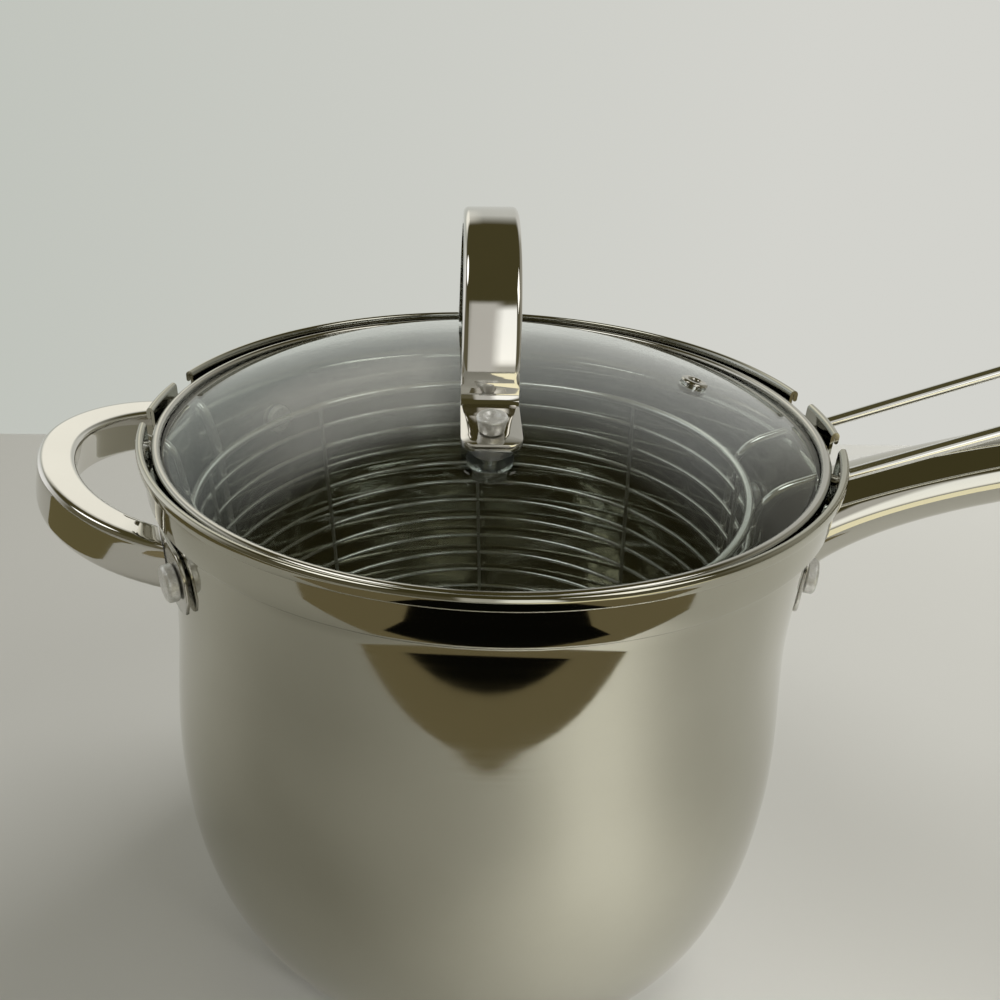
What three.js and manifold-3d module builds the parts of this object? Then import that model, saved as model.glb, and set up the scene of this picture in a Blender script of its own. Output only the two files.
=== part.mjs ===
// Deep belly-shaped pot with a hanging wire basket and a domed glass lid. Millimetres, +Z up.
// The origin is the middle of the base, on the table.
// The long handle points along +X and the loop handle along -X.
import * as THREE from "three";
import { mergeVertices } from "three/addons/utils/BufferGeometryUtils.js";
import Module from "manifold-3d";

// Fits
const seatGap = 0.35; // between pieces that rest on each other or are welded
const lidClearance = 1.9; // lid ring to the inside of the collar, on the radius
const notchClearance = 4.1; // basket wire to each side of its notch in the rim

// Pot shell
const potHeight = 216;
const rimRadius = 115; // outside of the rolled hem
const hemHeight = 4;
const hemStandOut = 1.5;
const hemRound = 0.7;
const collarDepth = 16.6;
const ledgeWidth = 3.2;
const stepRound = 1.2;
const wall = 1;
const waistDraw = 1.1; // how far the waist is drawn in from the neck
const waistHeight = 164;
const bellySwell = 6.3; // how far the belly swells out from the waist
const bellyHeight = 86;
const floorRadius = 70;
const bowlPower = 2.4; // exponent of the superellipse between the floor and the belly
const notchRound = 3;

// Base disc
const baseRadius = 80;
const baseThickness = 6.3;
const capWall = 0.8;
const capRound = 2;
const capLip = 1.2; // how far the cap's edge stays below the shell

// Handle brackets and rivets
const bracketThickness = 1.2;
const bracketRound = 7;
const bracketMargin = 8; // from a rivet's centre to the end of its bracket
const rivetHeadRadius = 6;
const rivetHeadHeight = 3.6;
const rivetInnerHeight = 2;
const rivetShankRadius = 2.5;
const rivetRound = 1.1;

// Loop handle, in a plane that rises outward from the foot of its arms
const loopTilt = THREE.MathUtils.degToRad(13.5);
const loopReach = 60; // from the bracket to the outside of the loop, along its plane
const loopDepth = 17;
const loopApexWidth = 13;
const loopArmWidth = 11;
const loopArmSpread = 48.5; // from the middle to an arm where it meets the bracket
const loopShoulderReach = 30.5; // pull points of the curve between an arm and the apex
const loopShoulderSpread = 55;
const loopNoseSpread = 23.5;
const loopFootDrop = 36.3; // from the rim down to the foot of the arms
const loopBracketDrop = 34.3;
const loopBracketHeight = 22;
const loopRivetSpread = 65;
const loopSquareness = 4; // exponent of the section's superellipse

// Long handle, along a curve that leaves the wall steeply and flattens out
const stickLength = 181; // along X, from the wall to the tip
const stickRise = 55;
const stickRootReach = 26; // pull points of the curve
const stickRootRise = 23;
const stickGripReach = 80;
const stickGripRise = 36;
const stickMiddleDrop = 44.5; // from the rim down to the middle of the handle's foot
const stickFootWidth = 37;
const stickFootDepth = 27;
const stickNeckWidth = 30;
const stickNeckDepth = 18.5;
const stickGripWidth = 29;
const stickGripDepth = 16;
const stickTipLength = 15;
const stickTipSweep = THREE.MathUtils.degToRad(84); // how far the end rounds over
const stickFootSink = 3.4; // from the inside of the bracket in to the start of the curve
const stickNeckShare = 0.45; // of the length, where the foot has narrowed to the neck
const stickNeckEase = 1.6;
const stickSquareness = 2.7;
const stickBracketHeight = 26;
const stickRivetSpread = 27;

// Basket, which hangs a little off centre, turned and lower on the side of its hooks
const basketTilt = THREE.MathUtils.degToRad(3.1);
const basketTurn = THREE.MathUtils.degToRad(-1.5);
const basketShift = 5.5;
const basketClearance = 11.2; // from the inside of the waist to the side rings
const topRingDrop = 27.2; // from the rim down to the top ring
const topRingWireRadius = 1.6;
const topRingStandOut = 1.1; // from the ribs out to the middle of the top ring
const ringWireRadius = 0.9;
const ringPitch = 10;
const ringCount = 13;
const ribCount = 8;
const ribBend = 8;
const floorRingPitch = 21;
const floorRingCount = 4;
const hubRadius = 11;
const handleWireRadius = 2;
const handleWireSpread = 18.4; // from the middle to each wire
const handleWireSlope = 0.415;
const handleWireDrop = 10.9; // from the rim down to a wire where it crosses the collar
const handleWireBend = 10;
const handleWireLength = 158; // beyond the rim, along X
const handleEndBend = 15;
const uprightDepth = 48; // how far the thick wires run down the basket below its top ring
const hookOverhang = 2.5;
const hookKneeInset = 7.5; // from the inside of the collar to where a hook turns down
const hookShoulder = 4; // from the top ring up to the bend above a hook's upright
const hookBend = 4;

// Lid
const lidTurn = THREE.MathUtils.degToRad(2.5);
const lidRingHeight = 8.2;
const lidRingWall = 0.8;
const lidRingLip = 3.6;
const lidRingRound = 0.9;
const glassThickness = 4;
const domeRise = 24.2; // from the glass edge to its crown
const strapWidth = 16.8;
const strapThickness = 4.5;
const strapHeight = 46.7; // from the foot plates to the top of the arch
const strapHalfSpan = 43;
const footReach = 67;
const footThickness = 1.8;
const strapBevel = 0.6;
const studOffset = 59;
const studRadius = 4.3;
const studFootRadius = 3.6;
const studHeight = 5;
const studDimpleRadius = 2.2;
const studDimpleDepth = 1.2;
const studShankRadius = 2.2;
const washerRadius = 7.3;
const innerWasherRadius = 6.5;
const nutRadius = 5.5;
const nutHeight = 3.5;
const eyeletOffset = 69.5;
const eyeletFlangeRadius = 4.6;
const eyeletFlangeHeight = 0.9;
const eyeletTubeRadius = 3;
const eyeletBoreRadius = 2;

// Facets
const potSegments = 44;
const lidSegments = 40;
const ringSegments = 24;
const hubSegments = 16;
const bracketSegments = 14;
const trimSegments = 96;
const rivetSegments = 12;
const boreSegments = 14;
const washerSegments = 16;
const nutSides = 6;
const strapSegments = 13;
const wireSides = 4;
const topRingSides = 6;
const handleWireSides = 8;
const loopSides = 12;
const stickSides = 14;

// Sizes that follow from the ones above
const collarRadius = rimRadius - hemStandOut;
const collarInside = collarRadius - wall;
const neckRadius = collarRadius - ledgeWidth;
const waistRadius = neckRadius - waistDraw;
const bellyRadius = waistRadius + bellySwell;
const stepHeight = potHeight - collarDepth;
const basketRadius = waistRadius - wall - basketClearance; // outside of the side rings
const lidRadius = collarInside - lidClearance;

const wasm = await Module();
wasm.setup();

const X_AXIS = new THREE.Vector3(1, 0, 0);
const Y_AXIS = new THREE.Vector3(0, 1, 0);
const Z_AXIS = new THREE.Vector3(0, 0, 1);

// Finishes
const finishes = {
  mirrorSteel: { color: 0xc6c4ba, roughness: 0.12, metalness: 1 },
  satinSteel: { color: 0xb9b7ae, roughness: 0.3, metalness: 1 },
  wireSteel: { color: 0xc9c9c4, roughness: 0.2, metalness: 1 },
  aluminium: { color: 0xb4b4ae, roughness: 0.45, metalness: 1 },
  glass: { color: 0x9fa8a4, roughness: 0.04, metalness: 0 },
  silicone: { color: 0xd4d9d6, roughness: 0.35, metalness: 0 },
};

function piece(name, geometry, finish) {
  const mesh = new THREE.Mesh(geometry, new THREE.MeshStandardMaterial(finishes[finish]));
  mesh.name = name;
  return mesh;
}

// Solids and booleans

function toSolid(geometry) {
  const bare = new THREE.BufferGeometry();
  bare.setAttribute("position", geometry.getAttribute("position"));
  bare.setIndex(geometry.index);
  const merged = mergeVertices(bare, 1e-4);
  const mesh = new wasm.Mesh({
    numProp: 3,
    vertProperties: new Float32Array(merged.getAttribute("position").array),
    triVerts: new Uint32Array(merged.index.array),
  });
  return new wasm.Manifold(mesh);
}

function cut(geometry, cutters) {
  let solid = toSolid(geometry);
  for (const cutter of cutters) {
    solid = solid.subtract(toSolid(cutter));
  }
  const mesh = solid.getMesh();
  const made = new THREE.BufferGeometry();
  made.setAttribute("position", new THREE.BufferAttribute(new Float32Array(mesh.vertProperties), 3));
  made.setIndex(new THREE.BufferAttribute(new Uint32Array(mesh.triVerts), 1));
  return made;
}

// Body of revolution about Z; the profile holds (radius, height) pairs, up the outside and down the inside.
function revolve(profile, segments) {
  const points = profile.map(([radius, height]) => new THREE.Vector2(radius, height));
  return new THREE.LatheGeometry(points, segments).rotateX(Math.PI / 2);
}

function cylinder(radius, bottom, top, segments) {
  const height = top - bottom;
  const made = new THREE.CylinderGeometry(radius, radius, height, segments);
  return made.rotateX(Math.PI / 2).translate(0, 0, bottom + height / 2);
}

// Closed body through rings of points that turn right-handed about the way from the first ring to the last.
function loft(rings) {
  const count = rings[0].length;
  const indices = [];
  for (let i = 0; i + 1 < rings.length; i++) {
    for (let j = 0; j < count; j++) {
      const a = i * count + j;
      const b = i * count + ((j + 1) % count);
      indices.push(a, b, a + count, b, b + count, a + count);
    }
  }
  const last = (rings.length - 1) * count;
  for (let j = 1; j + 1 < count; j++) {
    indices.push(0, j + 1, j);
    indices.push(last, last + j, last + j + 1);
  }
  const made = new THREE.BufferGeometry().setFromPoints(rings.flat());
  made.setIndex(indices);
  return made;
}

// Superellipse section of a handle; across x upward is the way the handle runs.
function section(centre, across, upward, width, depth, power, count) {
  const ring = [];
  for (let j = 0; j < count; j++) {
    const angle = (2 * Math.PI * (j + 0.5)) / count;
    const side = Math.cos(angle);
    const rise = Math.sin(angle);
    const x = (Math.sign(side) * Math.abs(side) ** (2 / power) * width) / 2;
    const z = (Math.sign(rise) * Math.abs(rise) ** (2 / power) * depth) / 2;
    ring.push(centre.clone().addScaledVector(across, x).addScaledVector(upward, z));
  }
  return ring;
}

// Points along straight runs between corners, with each corner rounded.
function bentPath(corners, bends, steps = 5) {
  const points = [corners[0]];
  for (let i = 1; i + 1 < corners.length; i++) {
    const back = corners[i - 1].clone().sub(corners[i]).setLength(bends[i - 1]).add(corners[i]);
    const ahead = corners[i + 1].clone().sub(corners[i]).setLength(bends[i - 1]).add(corners[i]);
    points.push(...new THREE.QuadraticBezierCurve3(back, corners[i], ahead).getPoints(steps));
  }
  points.push(corners.at(-1));
  return points;
}

// Round wire along a row of points, with its section carried along without twist.
function wire(points, radius, sides) {
  const rings = [];
  let normal = new THREE.Vector3();
  points.forEach((point, i) => {
    const before = points[Math.max(i - 1, 0)];
    const after = points[Math.min(i + 1, points.length - 1)];
    const along = after.clone().sub(before).normalize();
    if (i === 0) {
      const start = Math.abs(along.z) < Math.abs(along.x) ? Z_AXIS : X_AXIS;
      normal = start.clone();
    }
    normal.addScaledVector(along, -normal.dot(along)).normalize();
    const binormal = along.clone().cross(normal);
    rings.push(section(point, normal, binormal, 2 * radius, 2 * radius, 2, sides));
  });
  return loft(rings);
}

function wireRing(radius, height, wireRadius, sides, segments) {
  return new THREE.TorusGeometry(radius, wireRadius, sides, segments).translate(0, 0, height);
}

// Extruded outline drawn in (y, z), thick along X and centred on it.
function sideways(shape, thickness, bevel, curveSegments) {
  const made = new THREE.ExtrudeGeometry(shape, {
    depth: thickness - 2 * bevel,
    bevelEnabled: bevel > 0,
    bevelThickness: bevel,
    bevelSize: bevel,
    bevelOffset: -bevel,
    bevelSegments: 1,
    curveSegments,
  });
  made.translate(0, 0, bevel - thickness / 2);
  return made.applyMatrix4(new THREE.Matrix4().makeBasis(Y_AXIS, Z_AXIS, X_AXIS));
}

// Pot shell

// Outside radius of the wall below the collar.
function wallRadius(z) {
  if (z >= waistHeight) {
    const rise = (z - waistHeight) / (stepHeight - waistHeight);
    return waistRadius + (neckRadius - waistRadius) * rise ** 2;
  }
  const swing = Math.cos((Math.PI * (z - bellyHeight)) / (waistHeight - bellyHeight));
  return waistRadius + ((bellyRadius - waistRadius) * (1 + swing)) / 2;
}

// Widest the wall gets between two heights above the belly.
function widestWall(bottom, top) {
  return Math.max(wallRadius(bottom), wallRadius(top));
}

// Row of points at the same distance inside a profile that runs up the outside.
function inset(profile, distance) {
  const outward = (from, to) => {
    const run = to[0] - from[0];
    const rise = to[1] - from[1];
    const length = Math.hypot(run, rise);
    return [rise / length, -run / length];
  };
  const last = profile.length - 1;
  return profile.map((point, i) => {
    const before = outward(profile[Math.max(i - 1, 0)], profile[Math.max(i, 1)]);
    const after = outward(profile[Math.min(i, last - 1)], profile[Math.min(i + 1, last)]);
    const share = distance / (1 + before[0] * after[0] + before[1] * after[1]);
    return [point[0] - (before[0] + after[0]) * share, point[1] - (before[1] + after[1]) * share];
  });
}

function shellProfile() {
  const outside = [[0, baseThickness]];
  const bowlSteps = 6;
  for (let i = 0; i <= bowlSteps; i++) {
    const angle = ((1 - i / bowlSteps) * Math.PI) / 2;
    const radius = floorRadius + (bellyRadius - floorRadius) * Math.cos(angle) ** (2 / bowlPower);
    const height = bellyHeight - (bellyHeight - baseThickness) * Math.sin(angle) ** (2 / bowlPower);
    outside.push([radius, height]);
  }
  const waistSteps = 4;
  for (let i = 1; i <= waistSteps; i++) {
    const height = bellyHeight + ((waistHeight - bellyHeight) * i) / waistSteps;
    outside.push([wallRadius(height), height]);
  }
  const neckHeight = stepHeight - stepRound;
  outside.push([wallRadius((waistHeight + neckHeight) / 2), (waistHeight + neckHeight) / 2]);
  outside.push([neckRadius, neckHeight]);
  outside.push([collarRadius - stepRound, stepHeight]);
  outside.push([collarRadius, stepHeight + stepRound]);
  outside.push([collarRadius, potHeight - hemHeight]);
  const hem = [
    [rimRadius, potHeight - hemHeight + hemRound],
    [rimRadius, potHeight - hemRound],
    [rimRadius - hemRound, potHeight],
    [collarInside + hemRound, potHeight],
    [collarInside, potHeight - hemRound],
  ];
  return [...outside, ...hem, ...inset(outside, wall).reverse()];
}

// Height of the middle of a wire that carries the basket, on its slope across the collar.
function wireHeight(x) {
  return potHeight - handleWireDrop + handleWireSlope * (x - collarRadius);
}

const wireHalfHeight = handleWireRadius * Math.hypot(1, handleWireSlope); // on that slope
const notchWidth = 2 * (handleWireRadius + notchClearance);
// Where the far side of a wire passes the inside of the faceted collar.
const collarFlat = collarInside * Math.cos(Math.PI / potSegments);
const crossingX = Math.sqrt(collarFlat ** 2 - (handleWireSpread + handleWireRadius) ** 2);
const notchFloor = wireHeight(crossingX) - wireHalfHeight - seatGap;

function notchCutter(end, side) {
  const half = notchWidth / 2;
  const shape = new THREE.Shape();
  shape.moveTo(-half, potHeight + wall);
  shape.lineTo(-half, notchFloor + notchRound);
  shape.absarc(-half + notchRound, notchFloor + notchRound, notchRound, Math.PI, 1.5 * Math.PI, false);
  shape.absarc(half - notchRound, notchFloor + notchRound, notchRound, 1.5 * Math.PI, 2 * Math.PI, false);
  shape.lineTo(half, potHeight + wall);
  const reach = 4 * (hemStandOut + ledgeWidth + wall);
  return sideways(shape, reach, 0, 3).translate(end * collarRadius, side * handleWireSpread, 0);
}

// Brackets and rivets, laid along the wall about the azimuth of their handle

function bracketSeat(handle) {
  const bottom = handle.height - handle.bracketHeight / 2;
  const top = handle.height + handle.bracketHeight / 2;
  return widestWall(bottom, top) + seatGap;
}

const loop = {
  name: "loop",
  azimuth: Math.PI,
  height: potHeight - loopBracketDrop,
  bracketHeight: loopBracketHeight,
  rivetSpread: loopRivetSpread,
};
const stick = {
  name: "long_handle",
  azimuth: 0,
  height: potHeight - stickMiddleDrop,
  bracketHeight: stickBracketHeight,
  rivetSpread: stickRivetSpread,
};

for (const handle of [loop, stick]) {
  handle.bracketInside = bracketSeat(handle);
  handle.bracketOutside = handle.bracketInside + bracketThickness;
  const turn = Math.asin(handle.rivetSpread / handle.bracketOutside);
  handle.rivets = { front: handle.azimuth === 0 ? -turn : handle.azimuth + turn };
  handle.rivets.back = 2 * handle.azimuth - handle.rivets.front;
  handle.halfSpan = turn + bracketMargin / handle.bracketOutside;
}

function radialBore(azimuth, height, radius) {
  const bore = new THREE.CylinderGeometry(radius, radius, rimRadius, rivetSegments);
  bore.translate(0, rimRadius, 0);
  return bore.rotateZ(azimuth - Math.PI / 2).translate(0, 0, height);
}

function rivetBores(handle) {
  return Object.values(handle.rivets).map((azimuth) =>
    radialBore(azimuth, handle.height, rivetShankRadius + seatGap),
  );
}

function bracket(handle) {
  const endSteps = [0, 1, 2, 3];
  const ends = endSteps.map((step) => {
    const angle = (step * Math.PI) / 2 / endSteps.at(-1);
    return (bracketRound * (1 - Math.cos(angle))) / handle.bracketOutside;
  });
  const plain = 2 * (handle.halfSpan - ends.at(-1));
  const offsets = [...ends];
  for (let i = 1; i < bracketSegments; i++) {
    offsets.push(ends.at(-1) + (plain * i) / bracketSegments);
  }
  offsets.push(...ends.map((offset) => 2 * handle.halfSpan - offset).reverse());
  const rings = offsets.map((offset) => {
    const angle = handle.azimuth - handle.halfSpan + offset;
    const fromEnd = Math.min(offset, 2 * handle.halfSpan - offset) * handle.bracketOutside;
    const short = Math.max(bracketRound - fromEnd, 0);
    const lift = bracketRound - Math.sqrt(bracketRound ** 2 - short ** 2);
    const half = handle.bracketHeight / 2 - lift;
    const corner = (radius, rise) =>
      new THREE.Vector3(radius * Math.cos(angle), radius * Math.sin(angle), handle.height + rise);
    return [
      corner(handle.bracketInside, -half),
      corner(handle.bracketInside, half),
      corner(handle.bracketOutside, half),
      corner(handle.bracketOutside, -half),
    ];
  });
  return cut(loft(rings), rivetBores(handle));
}

// Solid rivet through the wall and the bracket, with its heads on both sides.
function rivet(handle, azimuth) {
  const narrowest = Math.min(
    wallRadius(handle.height - rivetHeadRadius),
    wallRadius(handle.height + rivetHeadRadius),
  );
  const facetDrop = narrowest * (1 - Math.cos(Math.PI / potSegments));
  const headSag = rivetHeadRadius ** 2 / (2 * narrowest);
  const inner = narrowest - wall - facetDrop - headSag - seatGap;
  const outer = handle.bracketOutside + seatGap;
  const profile = [
    [0, inner - rivetInnerHeight],
    [rivetHeadRadius - rivetRound, inner - rivetInnerHeight],
    [rivetHeadRadius, inner - rivetInnerHeight + rivetRound],
    [rivetHeadRadius, inner],
    [rivetShankRadius, inner],
    [rivetShankRadius, outer],
    [rivetHeadRadius, outer],
    [rivetHeadRadius, outer + rivetHeadHeight - rivetRound],
    [rivetHeadRadius - rivetRound, outer + rivetHeadHeight],
    [0, outer + rivetHeadHeight],
  ];
  const points = profile.map(([radius, reach]) => new THREE.Vector2(radius, reach));
  const made = new THREE.LatheGeometry(points, rivetSegments);
  return made.rotateZ(azimuth - Math.PI / 2).translate(0, 0, handle.height);
}

// What a handle's foot is trimmed by, so that it seats on its bracket.
function footTrim(handle) {
  const radius = handle.bracketOutside + seatGap;
  return cylinder(radius, 0, potHeight, trimSegments);
}

function loopHandle() {
  const footX = Math.sqrt(loop.bracketOutside ** 2 - loopArmSpread ** 2);
  const apex = loopReach - loopApexWidth / 2;
  const half = new THREE.CubicBezierCurve3(
    new THREE.Vector3(loopArmWidth, -loopArmSpread, 0),
    new THREE.Vector3(-loopShoulderReach, -loopShoulderSpread, 0),
    new THREE.Vector3(-apex, -loopNoseSpread, 0),
    new THREE.Vector3(-apex, 0, 0),
  );
  const steps = 12;
  const sections = [];
  for (let i = 0; i <= steps; i++) {
    const share = i / steps;
    const width = loopArmWidth + (loopApexWidth - loopArmWidth) * Math.sin((share * Math.PI) / 2);
    sections.push({ centre: half.getPoint(share), along: half.getTangent(share), width });
  }
  const mirrored = sections.slice(0, -1).reverse().map(({ centre, along, width }) => ({
    centre: new THREE.Vector3(centre.x, -centre.y, 0),
    along: new THREE.Vector3(-along.x, along.y, 0),
    width,
  }));
  const rings = [...sections, ...mirrored].map(({ centre, along, width }) => {
    const across = Z_AXIS.clone().cross(along);
    return section(centre, across, Z_AXIS, width, loopDepth, loopSquareness, loopSides);
  });
  const bent = loft(rings).rotateY(loopTilt).translate(-footX, 0, potHeight - loopFootDrop);
  return cut(bent, [footTrim(loop)]);
}

function longHandle() {
  const root = stick.bracketInside - stickFootSink;
  const at = (reach, rise) => new THREE.Vector3(root + reach, 0, stick.height + rise);
  const line = new THREE.CubicBezierCurve3(
    at(0, 0),
    at(stickRootReach, stickRootRise),
    at(stickGripReach, stickGripRise),
    at(stickLength, stickRise),
  );
  const tipShare = stickTipLength / line.getLength();
  const blend = (foot, neck, grip, share) => {
    const toNeck = Math.max(1 - share / stickNeckShare, 0) ** stickNeckEase;
    const toGrip = THREE.MathUtils.smoothstep(share, stickNeckShare, 1);
    return neck + (foot - neck) * toNeck + (grip - neck) * toGrip;
  };
  const sizeAt = (share) => [
    blend(stickFootWidth, stickNeckWidth, stickGripWidth, share),
    blend(stickFootDepth, stickNeckDepth, stickGripDepth, share),
  ];
  const stations = [];
  const steps = 15;
  for (let i = 0; i <= steps; i++) {
    stations.push([(i / steps) * (1 - tipShare), 1]);
  }
  const tipSteps = 4;
  for (let i = 1; i <= tipSteps; i++) {
    const angle = (i / tipSteps) * stickTipSweep;
    stations.push([1 - tipShare + tipShare * Math.sin(angle), Math.cos(angle)]);
  }
  const ring = (share, scale, centre = line.getPoint(share)) => {
    const upward = line.getTangent(share).cross(Y_AXIS);
    const [width, depth] = sizeAt(share);
    return section(centre, Y_AXIS, upward, width * scale, depth * scale, stickSquareness, stickSides);
  };
  const inside = line.getPoint(0).addScaledVector(line.getTangent(0), -stickFootDepth);
  const rings = stations.map(([share, scale]) => ring(share, scale));
  return cut(loft([ring(0, 1, inside), ...rings]), [footTrim(stick)]);
}

function pot() {
  const group = new THREE.Group();
  const notches = [-1, 1].flatMap((end) => [-1, 1].map((side) => notchCutter(end, side)));
  const bores = [loop, stick].flatMap(rivetBores);
  const shell = cut(revolve(shellProfile(), potSegments), [...notches, ...bores]);
  group.add(piece("pot_body", shell, "mirrorSteel"));

  const capHeight = baseThickness - capLip;
  const cap = [
    [0, 0],
    [baseRadius - capRound, 0],
    [baseRadius, capRound],
    [baseRadius, capHeight],
    [baseRadius - capWall, capHeight],
    [baseRadius - capWall, capRound + capWall],
    [baseRadius - capRound - capWall, capWall],
    [0, capWall],
  ];
  group.add(piece("base_cap", revolve(cap, potSegments), "satinSteel"));
  const coreRadius = baseRadius - capRound - capWall - seatGap;
  const core = cylinder(coreRadius, capWall + seatGap, baseThickness - seatGap, potSegments);
  group.add(piece("base_core", core, "aluminium"));

  group.add(piece("loop_handle", loopHandle(), "mirrorSteel"));
  group.add(piece("long_handle", longHandle(), "mirrorSteel"));
  for (const handle of [loop, stick]) {
    group.add(piece(`${handle.name}_bracket`, bracket(handle), "satinSteel"));
    for (const [end, azimuth] of Object.entries(handle.rivets)) {
      group.add(piece(`${handle.name}_rivet_${end}`, rivet(handle, azimuth), "aluminium"));
    }
  }
  return group;
}

// Basket

// From the basket's own frame, with its top ring round the origin, to the pot's.
const basketFrame = new THREE.Matrix4()
  .makeRotationFromEuler(new THREE.Euler(0, -basketTilt, basketTurn))
  .setPosition(-basketShift, 0, potHeight - topRingDrop);

// Thick wire on one side of one end: up outside the rings, then out along the slope across the collar.
// Without a shoulder height it bends where its upright meets that slope.
function carrier(end, side, stops, shoulder) {
  const ringFlat = basketRadius * Math.cos(Math.PI / ringSegments);
  const uprightRadius = ringFlat + handleWireRadius + seatGap;
  const uprightX = end * Math.sqrt(uprightRadius ** 2 - handleWireSpread ** 2);
  const upright = (height) =>
    new THREE.Vector3(uprightX, side * handleWireSpread, height).applyMatrix4(basketFrame);
  const start = upright(0);
  const climb = upright(1).sub(start);
  const meet = (wireHeight(end * start.x) - start.z) / (climb.z - end * handleWireSlope * climb.x);
  const bend = upright(shoulder ?? meet);
  const outward = stops.map((reach) => {
    const y = bend.y + (end * reach - bend.x) * Math.tan(basketTurn);
    return new THREE.Vector3(end * reach, y, wireHeight(reach));
  });
  return [upright(-uprightDepth), bend, ...outward];
}

function basket() {
  const group = new THREE.Group();
  const add = (name, geometry) => group.add(piece(name, geometry, "wireSteel"));
  const addWoven = (name, geometry) => add(name, geometry.applyMatrix4(basketFrame));
  const ringRadius = basketRadius - ringWireRadius;
  const ribRadius = ringRadius - 2 * ringWireRadius - seatGap;
  const topRingRadius = ribRadius + topRingStandOut;
  addWoven("basket_top_ring", wireRing(topRingRadius, 0, topRingWireRadius, topRingSides, ringSegments));
  for (let i = 1; i <= ringCount; i++) {
    const number = String(i).padStart(2, "0");
    const ring = wireRing(ringRadius, -i * ringPitch, ringWireRadius, wireSides, ringSegments);
    addWoven(`basket_ring_${number}`, ring);
  }

  const floorHeight = -ringCount * ringPitch - ribBend;
  const ribTop = -topRingWireRadius - seatGap;
  for (let i = 0; i < ribCount; i++) {
    const angle = (2 * Math.PI * i) / ribCount;
    const at = (radius, height) =>
      new THREE.Vector3(radius * Math.cos(angle), radius * Math.sin(angle), height);
    const corners = [at(ribRadius, ribTop), at(ribRadius, floorHeight), at(hubRadius, floorHeight)];
    addWoven(`basket_rib_${i + 1}`, wire(bentPath(corners, [ribBend]), ringWireRadius, wireSides));
  }
  const floorRingHeight = floorHeight - 2 * ringWireRadius - seatGap;
  for (let i = 0; i < floorRingCount; i++) {
    const radius = hubRadius + ringWireRadius + i * floorRingPitch;
    const segments = i < 2 ? hubSegments : ringSegments;
    const ring = wireRing(radius, floorRingHeight, ringWireRadius, wireSides, segments);
    addWoven(`basket_floor_ring_${i + 1}`, ring);
  }

  const handleStops = [rimRadius + handleWireLength];
  const corners = [
    ...carrier(1, 1, handleStops),
    ...carrier(1, -1, handleStops).reverse(),
  ];
  const bends = [handleWireBend, handleEndBend, handleEndBend, handleWireBend];
  add("basket_handle_wire", wire(bentPath(corners, bends), handleWireRadius, handleWireSides));
  const hookStops = [collarInside - hookKneeInset, rimRadius + hookOverhang];
  for (const [name, side] of [["front", -1], ["back", 1]]) {
    const path = bentPath(carrier(-1, side, hookStops, hookShoulder), [hookBend, hookBend]);
    add(`basket_hook_${name}`, wire(path, handleWireRadius, handleWireSides));
  }
  return group;
}

// Lid, drawn with the underside of its ring at height zero

const glassRadius = lidRadius - lidRingWall - seatGap;
const glassEdge = lidRingWall + seatGap; // underside of the glass at its edge
const domeRadius = (glassRadius ** 2 + domeRise ** 2) / (2 * domeRise);

// Height of the glass's underside at a distance from the lid's axis.
function domeHeight(radius) {
  return glassEdge + domeRise - domeRadius + Math.sqrt(domeRadius ** 2 - radius ** 2);
}

function domeLine(lift) {
  const steps = 6;
  const line = [];
  for (let i = 0; i <= steps; i++) {
    const radius = (glassRadius * i) / steps;
    line.push([radius, domeHeight(radius) + lift]);
  }
  return line;
}

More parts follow.
